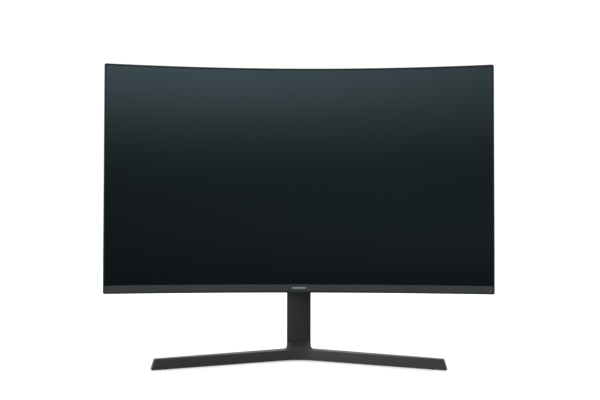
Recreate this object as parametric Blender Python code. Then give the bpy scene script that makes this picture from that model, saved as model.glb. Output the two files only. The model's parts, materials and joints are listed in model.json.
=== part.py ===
"""A 27-inch curved computer monitor on a tilting stand with a V-shaped foot.

Metres, +Z up. The screen faces -Y. The origin lies on the table, below the middle of the
monitor's bounding box. Run with: blender --background --python part.py
"""

import math

import bmesh
import bpy
from mathutils import Matrix, Vector

MM = 0.001
GAP = 0.3 * MM  # between neighbouring pieces that touch on the real object

# Screen: part of a cylinder whose axis is upright and in front of the screen
SCREEN_R = 1500 * MM
SCREEN_Y = -30 * MM  # middle of the screen's front surface
HEAD_BOTTOM = 112.5 * MM
HEAD_TOP = 472.0 * MM
HALF_CHORD = 304 * MM
HALF_ANGLE = math.asin(HALF_CHORD / SCREEN_R)
HALF_ARC = SCREEN_R * HALF_ANGLE
ARC_SEGMENTS = 24
CORNER_R = 3.0 * MM
CORNER_GAP = 0.45 * MM  # room inside the frame's wall that clears its round corners
CORNER_STEPS = 4

# Depths behind the screen's front surface, measured along the cylinder's radius
RIM = 1.9 * MM  # width of the frame's wall, seen from the front
LEDGE = 3.0 * MM  # how far the frame's ledge stands in from its wall
CELL_FRONT, CELL_BACK = 0.5 * MM, 2.1 * MM
LEDGE_FRONT, LEDGE_BACK = 2.4 * MM, 3.4 * MM
DIFFUSER_FRONT, DIFFUSER_BACK = 3.7 * MM, 4.0 * MM
PRISM_FRONT, PRISM_BACK = 4.3 * MM, 4.6 * MM
GUIDE_FRONT, GUIDE_BACK = 4.9 * MM, 7.3 * MM
REFLECTOR_FRONT, REFLECTOR_BACK = 7.6 * MM, 7.9 * MM
TRAY_BACK = 9.0 * MM
SHEET = 0.8 * MM  # pressed steel
FRAME_BACK = 9.8 * MM
CHIN_TOP = HEAD_BOTTOM + 12.7 * MM

# Rear cover
COVER_WALL = 2.0 * MM
COVER_INSET = 0.4 * MM
COVER_FRONT = FRAME_BACK + GAP
EDGE_DEPTH = 11.3 * MM  # where the cover's side wall turns into its back
SKIN_DEPTH = 14.0 * MM
EDGE_SLOPE = 9.0 * MM
PLATEAU_Y = 10.0 * MM  # flat rear face of the raised middle
PLATEAU_HALF = 158 * MM
FOOT_HALF = 196 * MM  # where the raised middle's sloping sides meet the curved back
PLATEAU_LOW, PLATEAU_HIGH = 192 * MM, 392 * MM
FOOT_LOW, FOOT_HIGH = 158 * MM, 426 * MM
SLOPE_LINES = 5  # stretches across each sloping side
SLOPE_CORNER = 2.5  # power that rounds the raised middle's corners; 2 gives circular ones

# Bay for the sockets, in the raised middle's lower slope
BAY_LEFT, BAY_RIGHT = -146 * MM, -14 * MM
BAY_DEEP_Y = -14 * MM
BAY_CEILING = 194 * MM

# Tilt hinge, on a line parallel to X
HINGE_Y, HINGE_Z = 42 * MM, 292 * MM
MOUNT_PITCH = 100 * MM  # between the four M4 screws
RECESS_HALF = 56 * MM
RECESS_Y = 6.5 * MM
BRACKET_BACK = 9.3 * MM
EAR_INNER, EAR_OUTER = 11.5 * MM, 14.5 * MM
SHAFT_R = 4.0 * MM
SHAFT_PLAY = 0.15 * MM
EYE_R = 11.0 * MM
LUG_HALF = 9.0 * MM

# Control stick, on a small pod low on the cover's back
STICK_ARC = 226 * MM  # along the arc from the middle
STICK_Z = 138 * MM
STICK_PIVOT = 14.2 * MM  # depth of the crossing of its two axes
POD_BACK = 22 * MM

# Column and base
COLUMN_HALF = 20.0 * MM
COLUMN_FRONT, COLUMN_BACK = 22 * MM, 62 * MM
COLUMN_SPLIT = 44 * MM
COLUMN_WALL = 2.2 * MM
COLUMN_TOP = 262 * MM
HUB_TOP = 27.6 * MM
CORE_HALF = 14 * MM
CORE_FRONT, CORE_BACK = 30 * MM, 54 * MM
CORE_WALL = 3 * MM
CORE_FLOOR = 8 * MM
BASE_BOTTOM = 1.0 * MM
LEG_TOP = 16.7 * MM
LEG_TIP_X = 222.5 * MM
LEG_ANGLE = math.radians(22.6)
LEG_ROOT_WIDTH, LEG_TIP_WIDTH = 20 * MM, 10 * MM
APEX_Y = -1 * MM
APEX_R = 60 * MM
TIP_SLANT = 4.9 * MM
TAIL_END = 95 * MM
PAD_HEIGHT = 2.2 * MM
BASE_SCREWS_Y = (36.5 * MM, 49.5 * MM)

ROUND = 24  # sides of a round piece
ROUND_SMALL = 16


# ---------------------------------------------------------------- materials


def material(name, colour, roughness, metallic=0.0):
    made = bpy.data.materials.get(name) or bpy.data.materials.new(name)
    made.use_nodes = True
    shader = made.node_tree.nodes["Principled BSDF"]
    shader.inputs["Base Color"].default_value = (*colour, 1.0)
    shader.inputs["Roughness"].default_value = roughness
    shader.inputs["Metallic"].default_value = metallic
    return made


def finishes():
    return {
        "frame": material("frame_plastic", (0.020, 0.021, 0.022), 0.45),
        "chin": material("chin_plastic", (0.045, 0.050, 0.050), 0.5),
        "screen": material("screen_film", (0.010, 0.013, 0.013), 0.35),
        "cover": material("cover_plastic", (0.022, 0.023, 0.024), 0.6),
        "stand": material("stand_plastic", (0.030, 0.031, 0.034), 0.45),
        "base": material("base_paint", (0.045, 0.047, 0.050), 0.45, 0.1),
        "badge": material("badge_silver", (0.60, 0.60, 0.60), 0.35, 0.8),
        "steel": material("zinc_steel", (0.55, 0.56, 0.57), 0.35, 1.0),
        "dark_steel": material("dark_steel", (0.05, 0.05, 0.05), 0.4, 1.0),
        "film": material("optical_film", (0.80, 0.81, 0.82), 0.3),
        "acrylic": material("acrylic", (0.75, 0.80, 0.80), 0.1),
        "board": material("circuit_board", (0.02, 0.12, 0.06), 0.5),
        "aluminium": material("bare_aluminium", (0.70, 0.70, 0.71), 0.35, 1.0),
        "rubber": material("rubber", (0.015, 0.015, 0.015), 0.85),
        "stick": material("stick_plastic", (0.03, 0.03, 0.03), 0.4),
        "lens": material("light_lens", (0.85, 0.87, 0.90), 0.2),
    }


# ------------------------------------------------------------- basic shapes


def mesh_object(name, vertices, faces, triangles=False):
    """A closed mesh with its faces turned outwards, in triangles where its faces aren't flat."""
    mesh = bpy.data.meshes.new(name)
    mesh.from_pydata(vertices, [], faces)
    work = bmesh.new()
    work.from_mesh(mesh)
    if triangles:
        bmesh.ops.triangulate(work, faces=work.faces)
    bmesh.ops.recalc_face_normals(work, faces=work.faces)
    work.to_mesh(mesh)
    work.free()
    made = bpy.data.objects.new(name, mesh)
    bpy.context.scene.collection.objects.link(made)
    return made


def prism(name, outline, low, high, axis="Z"):
    """A closed outline drawn out along an axis. Its points hold the two other axes, in order."""
    place = {
        "X": lambda a, b, c: (c, a, b),
        "Y": lambda a, b, c: (a, c, b),
        "Z": lambda a, b, c: (a, b, c),
    }[axis]
    count = len(outline)
    vertices = [place(a, b, c) for c in (low, high) for a, b in outline]
    faces = [tuple(range(count)), tuple(range(count, 2 * count))]
    for i in range(count):
        j = (i + 1) % count
        faces.append((i, j, count + j, count + i))
    return mesh_object(name, vertices, faces)


def stack(name, rings):
    """Joins closed outlines, each at its own height, with the first and the last filled."""
    count = len(rings[0][0])
    vertices = [(x, y, z) for outline, z in rings for x, y in outline]
    faces = [tuple(range(count)), tuple((len(rings) - 1) * count + i for i in range(count))]
    for k in range(len(rings) - 1):
        for i in range(count):
            j = (i + 1) % count
            faces.append((k * count + i, k * count + j, (k + 1) * count + j, (k + 1) * count + i))
    return mesh_object(name, vertices, faces)


def box(name, low, high):
    return prism(
        name,
        [(low[0], low[1]), (high[0], low[1]), (high[0], high[1]), (low[0], high[1])],
        low[2],
        high[2],
    )


def arc(centre, radius, start, end, steps):
    """Points on an arc, with both ends, from start to end in degrees."""
    angles = [math.radians(start + (end - start) * i / steps) for i in range(steps + 1)]
    return [(centre[0] + radius * math.cos(t), centre[1] + radius * math.sin(t)) for t in angles]


def rounded_rectangle(low, high, radius, steps=4):
    corners = (
        (high[0] - radius, low[1] + radius, -90),
        (high[0] - radius, high[1] - radius, 0),
        (low[0] + radius, high[1] - radius, 90),
        (low[0] + radius, low[1] + radius, 180),
    )
    return [p for x, y, start in corners for p in arc((x, y), radius, start, start + 90, steps)]


def turned(name, centre, axis, profile, sides=ROUND):
    """A solid of revolution. The profile lists (radius, place along the axis) from end to end."""
    place = {
        "X": lambda a, b, c: (c, a, b),
        "Y": lambda a, b, c: (a, c, b),
        "Z": lambda a, b, c: (a, b, c),
    }[axis]
    turns = [2 * math.pi * (i + 0.5) / sides for i in range(sides)]
    vertices = [
        place(centre[0] + r * math.cos(t), centre[1] + r * math.sin(t), along)
        for r, along in profile
        for t in turns
    ]
    last = len(profile) - 1
    faces = [tuple(range(sides)), tuple(last * sides + i for i in range(sides))]
    for k in range(last):
        for i in range(sides):
            j = (i + 1) % sides
            faces.append((k * sides + i, k * sides + j, (k + 1) * sides + j, (k + 1) * sides + i))
    return mesh_object(name, vertices, faces)


def rod(name, centre, radius, low, high, axis="Z", sides=ROUND):
    return turned(name, centre, axis, [(radius, low), (radius, high)], sides)


def ring(name, centre, axis, inner, outer, low, high, sides=ROUND):
    made = rod(name, centre, outer, low, high, axis, sides)
    return cut(made, rod("bore", centre, inner, low - MM, high + MM, axis, ROUND))


def combine(target, tool, operation):
    """Applies a Boolean of the tool to the target, and removes the tool."""
    modifier = target.modifiers.new(operation.title(), "BOOLEAN")
    modifier.operation = operation
    modifier.solver = "EXACT"
    modifier.object = tool
    view = bpy.context.evaluated_depsgraph_get()
    mesh = bpy.data.meshes.new_from_object(target.evaluated_get(view))
    target.modifiers.clear()
    target.data = mesh
    bpy.data.objects.remove(tool)
    return target


def cut(target, *tools):
    for tool in tools:
        combine(target, tool, "DIFFERENCE")
    return target


def add(target, *tools):
    for tool in tools:
        combine(target, tool, "UNION")
    return target


def keep_inside(target, tool):
    return combine(target, tool, "INTERSECT")


def gather(name, pieces):
    """One mesh of several separate cutters, so that one Boolean makes all their cuts."""
    work = bmesh.new()
    for piece in pieces:
        work.from_mesh(piece.data)
        bpy.data.objects.remove(piece)
    mesh = bpy.data.meshes.new(name)
    work.to_mesh(mesh)
    work.free()
    made = bpy.data.objects.new(name, mesh)
    bpy.context.scene.collection.objects.link(made)
    return made


def finish(obj, look, smooth=False):
    """Gives a piece its material and, if it is round or curved, smooth shading."""
    obj.data.materials.clear()
    obj.data.materials.append(look)
    if smooth:
        obj.data.shade_smooth()
        obj.data.set_sharp_from_angle(angle=math.radians(30))
    return obj


# ---------------------------------------------------- shapes round the screen


def on_arc(along, depth, height):
    """The place of a point given along the screen's arc, behind its surface, and in height."""
    angle = along / SCREEN_R
    radius = SCREEN_R + depth
    return (radius * math.sin(angle), SCREEN_Y - SCREEN_R + radius * math.cos(angle), height)


def arc_frame(along):
    """Turns and moves a piece drawn with X along the arc and Y behind the surface to its place."""
    turn = Matrix.Rotation(-along / SCREEN_R, 4, "Z")
    return Matrix.Translation(Vector(on_arc(along, 0.0, 0.0))) @ turn


def set_on_arc(obj, along):
    obj.data.transform(arc_frame(along))
    return obj


def slice_lines(half):
    """The arc's regular slices that lie inside a half width, and its two ends."""
    step = 2 * HALF_ARC / ARC_SEGMENTS
    inner = [-HALF_ARC + step * i for i in range(1, ARC_SEGMENTS)]
    return [-half] + [s for s in inner if abs(s) < half - 2 * MM] + [half]


def curved_slab(name, front, back, half, low, high):
    """A plate of even thickness that follows the screen's curve."""
    lines = slice_lines(half)
    corners = ((front, low), (back, low), (back, high), (front, high))
    vertices = [on_arc(s, depth, z) for s in lines for depth, z in corners]
    last = 4 * (len(lines) - 1)
    faces = [(0, 1, 2, 3), (last, last + 1, last + 2, last + 3)]
    for k in range(len(lines) - 1):
        for i in range(4):
            j = (i + 1) % 4
            faces.append((4 * k + i, 4 * k + j, 4 * k + 4 + j, 4 * k + 4 + i))
    return mesh_object(name, vertices, faces)


def rim_path(inset):
    """The head's rounded outline as (along, height), moved inwards, with the same point count."""
    radius = max(CORNER_R - inset, 0.2 * MM)
    side, low, high = HALF_ARC - inset, HEAD_BOTTOM + inset, HEAD_TOP - inset
    run = [s for s in slice_lines(HALF_ARC) if abs(s) < HALF_ARC - 8 * MM]
    path = [(s, low) for s in run]
    path += arc((side - radius, low + radius), radius, -90, 0, CORNER_STEPS)
    path += arc((side - radius, high - radius), radius, 0, 90, CORNER_STEPS)
    path += [(s, high) for s in reversed(run)]
    path += arc((radius - side, high - radius), radius, 90, 180, CORNER_STEPS)
    path += arc((radius - side, low + radius), radius, 180, 270, CORNER_STEPS)
    return path


def rim_ring(name, section):
    """Sweeps a closed section of (inset, depth) points round the head's outline."""
    loops = [[on_arc(s, depth, z) for s, z in rim_path(inset)] for inset, depth in section]
    count, rings = len(loops[0]), len(section)
    faces = []
    for k in range(rings):
        for i in range(count):
            j = (i + 1) % count
            m = (k + 1) % rings
            faces.append((k * count + i, k * count + j, m * count + j, m * count + i))
    return mesh_object(name, [p for loop in loops for p in loop], faces)


# ------------------------------------------------------------ display stack


def middle_frame(look):
    wall = RIM + LEDGE
    section = (
        (0, 0),
        (RIM, 0),
        (RIM, LEDGE_FRONT),
        (wall, LEDGE_FRONT),
        (wall, LEDGE_BACK),
        (RIM, LEDGE_BACK),
        (RIM, FRAME_BACK),
        (0, FRAME_BACK),
    )
    frame = rim_ring("middle_frame", section)
    slot = box(
        "slot",
        (-3 * MM, 5.6 * MM, HEAD_BOTTOM - MM),
        (3 * MM, 8.2 * MM, HEAD_BOTTOM + RIM + MM),
    )
    finish(cut(frame, set_on_arc(slot, STICK_ARC)), look["frame"])


def display_stack(look):
    inside = HALF_ARC - RIM - CORNER_GAP
    top = HEAD_TOP - RIM - CORNER_GAP
    finish(
        curved_slab("lcd_cell", CELL_FRONT, CELL_BACK, inside, CHIN_TOP + GAP, top), look["screen"]
    )
    low, high = HEAD_BOTTOM + RIM + CORNER_GAP, HEAD_TOP - RIM - CORNER_GAP
    tray_half = HALF_ARC - RIM - CORNER_GAP
    tray = curved_slab("backlight_tray", DIFFUSER_FRONT, TRAY_BACK, tray_half, low, high)
    pan = curved_slab(
        "pan",
        DIFFUSER_FRONT - MM,
        TRAY_BACK - SHEET,
        tray_half - SHEET,
        low + SHEET,
        high - SHEET,
    )
    cut(tray, pan)
    light_slot = box(
        "slot", (-3 * MM, 5.6 * MM, low - MM), (3 * MM, 8.1 * MM, low + 6 * MM)
    )
    finish(cut(tray, set_on_arc(light_slot, STICK_ARC)), look["steel"])
    half = tray_half - SHEET - GAP
    low, high = low + SHEET + GAP, high - SHEET - GAP
    lit_low = low + 5 * MM
    for name, front, back, finish_name in (
        ("diffuser_sheet", DIFFUSER_FRONT, DIFFUSER_BACK, "film"),
        ("prism_sheet", PRISM_FRONT, PRISM_BACK, "film"),
        ("light_guide", GUIDE_FRONT, GUIDE_BACK, "acrylic"),
        ("reflector_sheet", REFLECTOR_FRONT, REFLECTOR_BACK, "film"),
    ):
        finish(curved_slab(name, front, back, half, lit_low, high), look[finish_name])
    bar_half = STICK_ARC - 6 * MM
    strip = curved_slab(
        "led_bar", GUIDE_FRONT, GUIDE_BACK, bar_half, low + 2.0 * MM, low + 3.2 * MM
    )
    lamps = curved_slab(
        "lamps",
        GUIDE_FRONT + 0.6 * MM,
        GUIDE_BACK - 0.6 * MM,
        bar_half - 4 * MM,
        low + 3.0 * MM,
        low + 4.6 * MM,
    )
    finish(add(strip, lamps), look["board"])
    finish(
        curved_slab(
            "panel_driver_board",
            TRAY_BACK + GAP,
            TRAY_BACK + GAP + MM,
            150 * MM,
            118 * MM,
            136 * MM,
        ),
        look["board"],
    )


def chin(look):
    """The strip below the screen, and the blank badge let into its middle."""
    low = HEAD_BOTTOM + RIM + CORNER_GAP
    half = HALF_ARC - RIM - CORNER_GAP
    trim = curved_slab("chin_trim", 0.0, CELL_BACK, half, low, CHIN_TOP)
    middle = (low + CHIN_TOP) / 2 + 0.2 * MM
    badge_half, badge_tall = 11 * MM, 1.3 * MM
    floor = SCREEN_Y + 0.9 * MM
    pocket = prism(
        "pocket",
        rounded_rectangle(
            (-badge_half - GAP, middle - badge_tall - GAP),
            (badge_half + GAP, middle + badge_tall + GAP),
            badge_tall,
        ),
        SCREEN_Y - 2 * MM,
        floor,
        "Y",
    )
    finish(cut(trim, pocket), look["chin"])
    outline = rounded_rectangle(
        (-badge_half, middle - badge_tall), (badge_half, middle + badge_tall), badge_tall - GAP
    )
    badge = prism("badge_blank", outline, SCREEN_Y - 0.15 * MM, floor - GAP, "Y")
    finish(badge, look["badge"])


def light_pipe(look):
    """Carries the power light to the underside of the frame."""
    low = HEAD_BOTTOM + 0.3 * MM
    pipe = box("power_light_pipe", (-2.6 * MM, 6.0 * MM, low), (2.6 * MM, 7.7 * MM, low + 5 * MM))
    finish(set_on_arc(pipe, STICK_ARC), look["lens"])


# -------------------------------------------------------------- electronics

CHASSIS_HALF = 150 * MM
CHASSIS_LOW, CHASSIS_HIGH = 198 * MM, 386 * MM
CHASSIS_FRONT_Y, CHASSIS_BACK_Y = -20.6 * MM, 2.1 * MM
PLATE_FRONT_Y, PLATE_BACK_Y = 2.4 * MM, 4.0 * MM
BOARD_FRONT_Y, BOARD_BACK_Y = -13.6 * MM, -12.0 * MM
SOCKET_FRONT_Y = BOARD_BACK_Y + GAP
SOCKET_MOUTH = 195.4 * MM
SOCKET_END = 208.5 * MM
# name, middle in X, width in X, height in Y
FLAT_SOCKETS = (
    ("hdmi_socket_1", -106 * MM, 15.0 * MM, 5.8 * MM),
    ("hdmi_socket_2", -84 * MM, 15.0 * MM, 5.8 * MM),
    ("displayport_socket", -58 * MM, 17.0 * MM, 5.8 * MM),
)
# name, middle in X, width in X, height in Y, radius of its hole
ROUND_SOCKETS = (
    ("power_inlet", -130 * MM, 9.0 * MM, 10.5 * MM, 3.2 * MM),
    ("audio_socket", -34 * MM, 7.0 * MM, 6.6 * MM, 1.8 * MM),
)


def chassis(look):
    pan = box(
        "electronics_chassis",
        (-CHASSIS_HALF, CHASSIS_FRONT_Y, CHASSIS_LOW),
        (CHASSIS_HALF, CHASSIS_BACK_Y, CHASSIS_HIGH),
    )
    hollow = box(
        "hollow",
        (-CHASSIS_HALF + SHEET, CHASSIS_FRONT_Y + SHEET, CHASSIS_LOW + SHEET),
        (CHASSIS_HALF - SHEET, CHASSIS_BACK_Y + MM, CHASSIS_HIGH - SHEET),
    )
    socket_gap = box(
        "socket_gap",
        (BAY_LEFT + 2 * MM, CHASSIS_FRONT_Y + SHEET, CHASSIS_LOW - MM),
        (BAY_RIGHT - 2 * MM, CHASSIS_BACK_Y + MM, CHASSIS_LOW + 2 * MM),
    )
    finish(cut(pan, hollow, socket_gap), look["steel"])


def mount_points():
    half = MOUNT_PITCH / 2
    return [(x, HINGE_Z + z) for x in (-half, half) for z in (-half, half)]


def cover_screw_points():
    return [(x, z) for x in (-138 * MM, 138 * MM) for z in (212 * MM, 374 * MM)]


def mount_plate(look):
    plate = box(
        "mount_plate",
        (-CHASSIS_HALF, PLATE_FRONT_Y, CHASSIS_LOW),
        (CHASSIS_HALF, PLATE_BACK_Y, CHASSIS_HIGH),
    )
    holes = [(p, 2.25 * MM) for p in mount_points()] + [(p, 1.8 * MM) for p in cover_screw_points()]
    drills = [
        rod("drill", p, r, PLATE_FRONT_Y - MM, PLATE_BACK_Y + MM, "Y", ROUND_SMALL)
        for p, r in holes
    ]
    finish(cut(plate, gather("drills", drills)), look["steel"])


def main_board(look):
    board = box(
        "main_board",
        (-144 * MM, BOARD_FRONT_Y, 200 * MM),
        (-12 * MM, BOARD_BACK_Y, 312 * MM),
    )
    chip = box(
        "chip",
        (-90 * MM, BOARD_BACK_Y - 0.5 * MM, 250 * MM),
        (-74 * MM, -10.6 * MM, 266 * MM),
    )
    header = box(
        "header", (-60 * MM, BOARD_BACK_Y - 0.5 * MM, 290 * MM), (-30 * MM, -7 * MM, 296 * MM)
    )
    cans = [
        rod("can", (x, 232 * MM), 4 * MM, BOARD_BACK_Y - 0.5 * MM, -2 * MM, "Y", ROUND_SMALL)
        for x in (-136 * MM, -124 * MM, -40 * MM)
    ]
    finish(add(board, chip, header, gather("cans", cans)), look["board"])


def heat_sink(look):
    base_y, fin_y = -10.3 * MM, 0.2 * MM
    low, high = 243 * MM, 273 * MM
    sink = box("heat_sink", (-97 * MM, base_y, low), (-67 * MM, base_y + 2 * MM, high))
    fins = [
        box("fin", (x * MM, base_y + MM, low), ((x + 1.4) * MM, fin_y, high))
        for x in (-97, -91.3, -85.6, -79.9, -74.2, -68.4)
    ]
    finish(add(sink, gather("fins", fins)), look["aluminium"])


def led_driver_board(look):
    board = box(
        "led_driver_board", (12 * MM, BOARD_FRONT_Y, 204 * MM), (144 * MM, BOARD_BACK_Y, 292 * MM)
    )
    coils = [
        box(
            "coil",
            (x * MM, BOARD_BACK_Y - 0.5 * MM, 236 * MM),
            ((x + 16) * MM, -4 * MM, 252 * MM),
        )
        for x in (30, 60)
    ]
    cans = [
        rod("can", (x * MM, 272 * MM), 5 * MM, BOARD_BACK_Y - 0.5 * MM, MM, "Y", ROUND_SMALL)
        for x in (96, 112, 128)
    ]
    finish(add(board, gather("parts", coils + cans)), look["board"])


def sockets(look):
    """Sockets on the main board's lower edge, with their mouths downwards."""
    wall = 0.5 * MM
    for name, x, width, height in FLAT_SOCKETS:
        low = (x - width / 2, SOCKET_FRONT_Y, SOCKET_MOUTH)
        high = (x + width / 2, SOCKET_FRONT_Y + height, SOCKET_END)
        shell = box(name, low, high)
        mouth = box(
            "mouth",
            (low[0] + wall, low[1] + wall, low[2] - MM),
            (high[0] - wall, high[1] - wall, high[2] - 3 * MM),
        )
        middle = (low[1] + high[1]) / 2
        tongue = box(
            "tongue",
            (x - width / 3, middle - 0.6 * MM, SOCKET_MOUTH + 1.5 * MM),
            (x + width / 3, middle + 0.6 * MM, SOCKET_END - 2 * MM),
        )
        finish(add(cut(shell, mouth), tongue), look["steel"])
    for name, x, width, height, radius in ROUND_SOCKETS:
        low = (x - width / 2, SOCKET_FRONT_Y, SOCKET_MOUTH)
        high = (x + width / 2, SOCKET_FRONT_Y + height, SOCKET_END)
        middle = (x, SOCKET_FRONT_Y + height / 2)
        bottom = SOCKET_END - 2 * MM
        block = cut(
            box(name, low, high),
            rod("hole", middle, radius, SOCKET_MOUTH - MM, bottom, "Z", ROUND_SMALL),
        )
        if name == "power_inlet":
            add(block, rod("pin", middle, MM, SOCKET_MOUTH + 1.5 * MM, bottom + MM, "Z", 12))
        finish(block, look["stick"])


def connector_plate(look):
    low_z, high_z = BAY_CEILING + 2.3 * MM, BAY_CEILING + 3.2 * MM
    plate = box(
        "connector_plate",
        (BAY_LEFT + 2.4 * MM, -18.4 * MM, low_z),
        (BAY_RIGHT - 2.4 * MM, 1.8 * MM, high_z),
    )
    windows = [
        box(
            "window",
            (x - width / 2 - GAP, SOCKET_FRONT_Y - GAP, low_z - MM),
            (x + width / 2 + GAP, SOCKET_FRONT_Y + height + GAP, high_z + MM),
        )
        for _, x, width, height in [s[:4] for s in FLAT_SOCKETS + ROUND_SOCKETS]
    ]
    cable_way = box("way", (-50 * MM, -18.6 * MM, low_z - MM), (-18 * MM, -15 * MM, high_z + MM))
    finish(cut(plate, gather("windows", [*windows, cable_way])), look["steel"])


def flat_cable(look):
    """Ribbon from the panel's driver board up to the front of the main board."""
    route = ((-19.5, 128), (-19.5, 166), (-17.7, 184), (-17.7, 206), (-14.3, 214))
    thick = 0.4
    outline = [(y * MM, z * MM) for y, z in route]
    outline += [((y + thick) * MM, z * MM) for y, z in reversed(route)]
    finish(prism("flat_cable", outline, -46 * MM, -22 * MM, "X"), look["film"])


# --------------------------------------------------------------- rear cover


def ramp_lines(foot, top):
    """Places across one sloping side of the raised middle, each with its share of the way."""
    shares = [i / SLOPE_LINES for i in range(SLOPE_LINES + 1)]
    return [(foot + (top - foot) * share, share) for share in shares]


def smooth_step(share):
    return share * share * (3 - 2 * share)


def lift(across, up):
    """Height on the raised middle, from 0 to 1, where two slopes meet in a rounded corner."""
    away = ((1 - across) ** SLOPE_CORNER + (1 - up) ** SLOPE_CORNER) ** (1 / SLOPE_CORNER)
    return smooth_step(max(0.0, 1 - away))


def cover_lines(inset, shrink):
    """Lines of the cover's grid, along the arc and upwards, each with its share of the slope.

    A share runs from 0 on the curved back to 1 on the raised middle, and is -1 at the edge.
    """
    side = ramp_lines(FOOT_HALF - shrink, PLATEAU_HALF - shrink / 2)
    shoulder = COVER_INSET + EDGE_SLOPE + shrink / 2
    right = [(HALF_ARC - inset, -1), (HALF_ARC - shoulder, 0), (268 * MM, 0), (232 * MM, 0), *side]
    right += [(x * MM, 1.0) for x in (120, 80, 40)]
    along = right + [(0.0, 1.0)] + [(-s, share) for s, share in reversed(right)]
    upward = [(HEAD_BOTTOM + inset, -1), (HEAD_BOTTOM + shoulder, 0)]
    upward += ramp_lines(FOOT_LOW + shrink, PLATEAU_LOW + shrink / 2) + [(HINGE_Z, 1.0)]
    upward += reversed(ramp_lines(FOOT_HIGH - shrink, PLATEAU_HIGH - shrink / 2))
    upward += [(HEAD_TOP - shoulder, 0), (HEAD_TOP - inset, -1)]
    return along, upward


def cover_grid(inset, edge, skin, plateau, shrink):
    """One face of the cover's wall: its grid of points, and the same outline at the open front."""
    along, upward = cover_lines(inset, shrink)
    columns, rows = len(along), len(upward)
    corner = 0.9 * MM  # the corners are drawn in a little, to follow the frame's round ones
    points, fronts = [], []
    for s, across in along:
        for z, up in upward:
            if across < 0 and up < 0:
                s_here = s - math.copysign(corner, s)
                z_here = z + (corner if z < HINGE_Z else -corner)
            else:
                s_here, z_here = s, z
            on_edge = min(across, up) < 0
            x, y, _ = on_arc(s_here, edge if on_edge else skin, 0.0)
            if not on_edge:
                y += lift(across, up) * (plateau - y)
            points.append((x, y, z_here))
            fronts.append(on_arc(s_here, COVER_FRONT, z_here))
    border = [i * rows for i in range(columns)]
    border += [(columns - 1) * rows + j for j in range(1, rows)]
    border += [i * rows + rows - 1 for i in range(columns - 2, -1, -1)]
    border += list(range(rows - 2, 0, -1))
    quads = [
        (a, a + 1, a + rows + 1, a + rows)
        for i in range(columns - 1)
        for a in range(i * rows, i * rows + rows - 1)
    ]
    return points, [fronts[k] for k in border], border, quads


def cover_shell():
    """The moulding without its openings: back surface, side walls, and the same inside."""
    outer = cover_grid(COVER_INSET, EDGE_DEPTH, SKIN_DEPTH, PLATEAU_Y, 0.0)
    inner = cover_grid(
        COVER_INSET + COVER_WALL,
        COVER_FRONT + 0.2 * MM,
        SKIN_DEPTH - COVER_WALL,
        PLATEAU_Y - 1.1 * COVER_WALL,
        2 * MM,
    )
    points, faces, loops = [], [], []
    for grid, front, border, quads in (outer, inner):
        start = len(points)
        points += grid + front
        faces += [tuple(start + i for i in quad) for quad in quads]
        edge_loop = [start + i for i in border]
        front_loop = [start + len(grid) + i for i in range(len(border))]
        loops.append((edge_loop, front_loop))
    (outer_edge, outer_front), (inner_edge, inner_front) = loops
    for a, b in ((outer_edge, outer_front), (outer_front, inner_front), (inner_front, inner_edge)):
        for i in range(len(a)):
            j = (i + 1) % len(a)
            faces.append((a[i], a[j], b[j], b[i]))
    return mesh_object("rear_cover", points, faces, triangles=True)


def lower_slope(x):
    """(Y, Z) points up the middle of the wall of the lower slope, at a place across the cover."""
    skin_y = SCREEN_Y - SCREEN_R + math.sqrt((SCREEN_R + SKIN_DEPTH) ** 2 - x**2)
    half_wall = COVER_WALL / 2
    ramp = ramp_lines(FOOT_LOW + half_wall, PLATEAU_LOW + half_wall)
    rise = PLATEAU_Y - skin_y
    return [(skin_y + smooth_step(share) * rise - half_wall, z) for z, share in ramp]


def slope_height(x, y):
    """Height at which the lower slope reaches a depth."""
    points = lower_slope(x)
    for (y0, z0), (y1, z1) in zip(points, points[1:]):
        if y0 <= y <= y1:
            return z0 + (z1 - z0) * (y - y0) / (y1 - y0)
    return points[0][1]


def bay_walls():
    """Ceiling, two sides and the deep wall of the socket bay, each reaching into the slope."""
    wall = COVER_WALL
    deep, top = BAY_DEEP_Y - wall, BAY_CEILING + wall
    left, right = BAY_LEFT - wall, BAY_RIGHT + wall
    walls = [box("ceiling", (left, deep, BAY_CEILING), (right, PLATEAU_Y - MM, top))]
    for low, high in ((left, BAY_LEFT), (BAY_RIGHT, right)):
        slope = [p for p in lower_slope((low + high) / 2) if p[0] > deep]
        outline = [(deep, slope_height((low + high) / 2, deep)), *slope]
        outline += [(PLATEAU_Y - MM, top), (deep, top)]
        walls.append(prism("side", outline, low, high, "X"))
    middle = BAY_DEEP_Y - wall / 2
    outline = [(left, slope_height(left, middle)), (right, slope_height(right, middle))]
    outline += [(right, top), (left, top)]
    walls.append(prism("deep", outline, deep, BAY_DEEP_Y, "Y"))
    return walls


def vent_slots():
    """Slots through the raised middle's upper slope and the plain half of its lower one."""
    slots = []
    for i in range(12):
        x = (20 + 10.5 * i) * MM
        for side in (-1, 1):
            slots.append(
                box(
                    "slot",
                    (side * x - 1.4 * MM, -24 * MM, 401 * MM),
                    (side * x + 1.4 * MM, 20 * MM, 418 * MM),
                )
            )
        slots.append(
            box("slot", (x - 1.4 * MM, -24 * MM, 166 * MM), (x + 1.4 * MM, 20 * MM, 183 * MM))
        )
    return gather("slots", slots)


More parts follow.
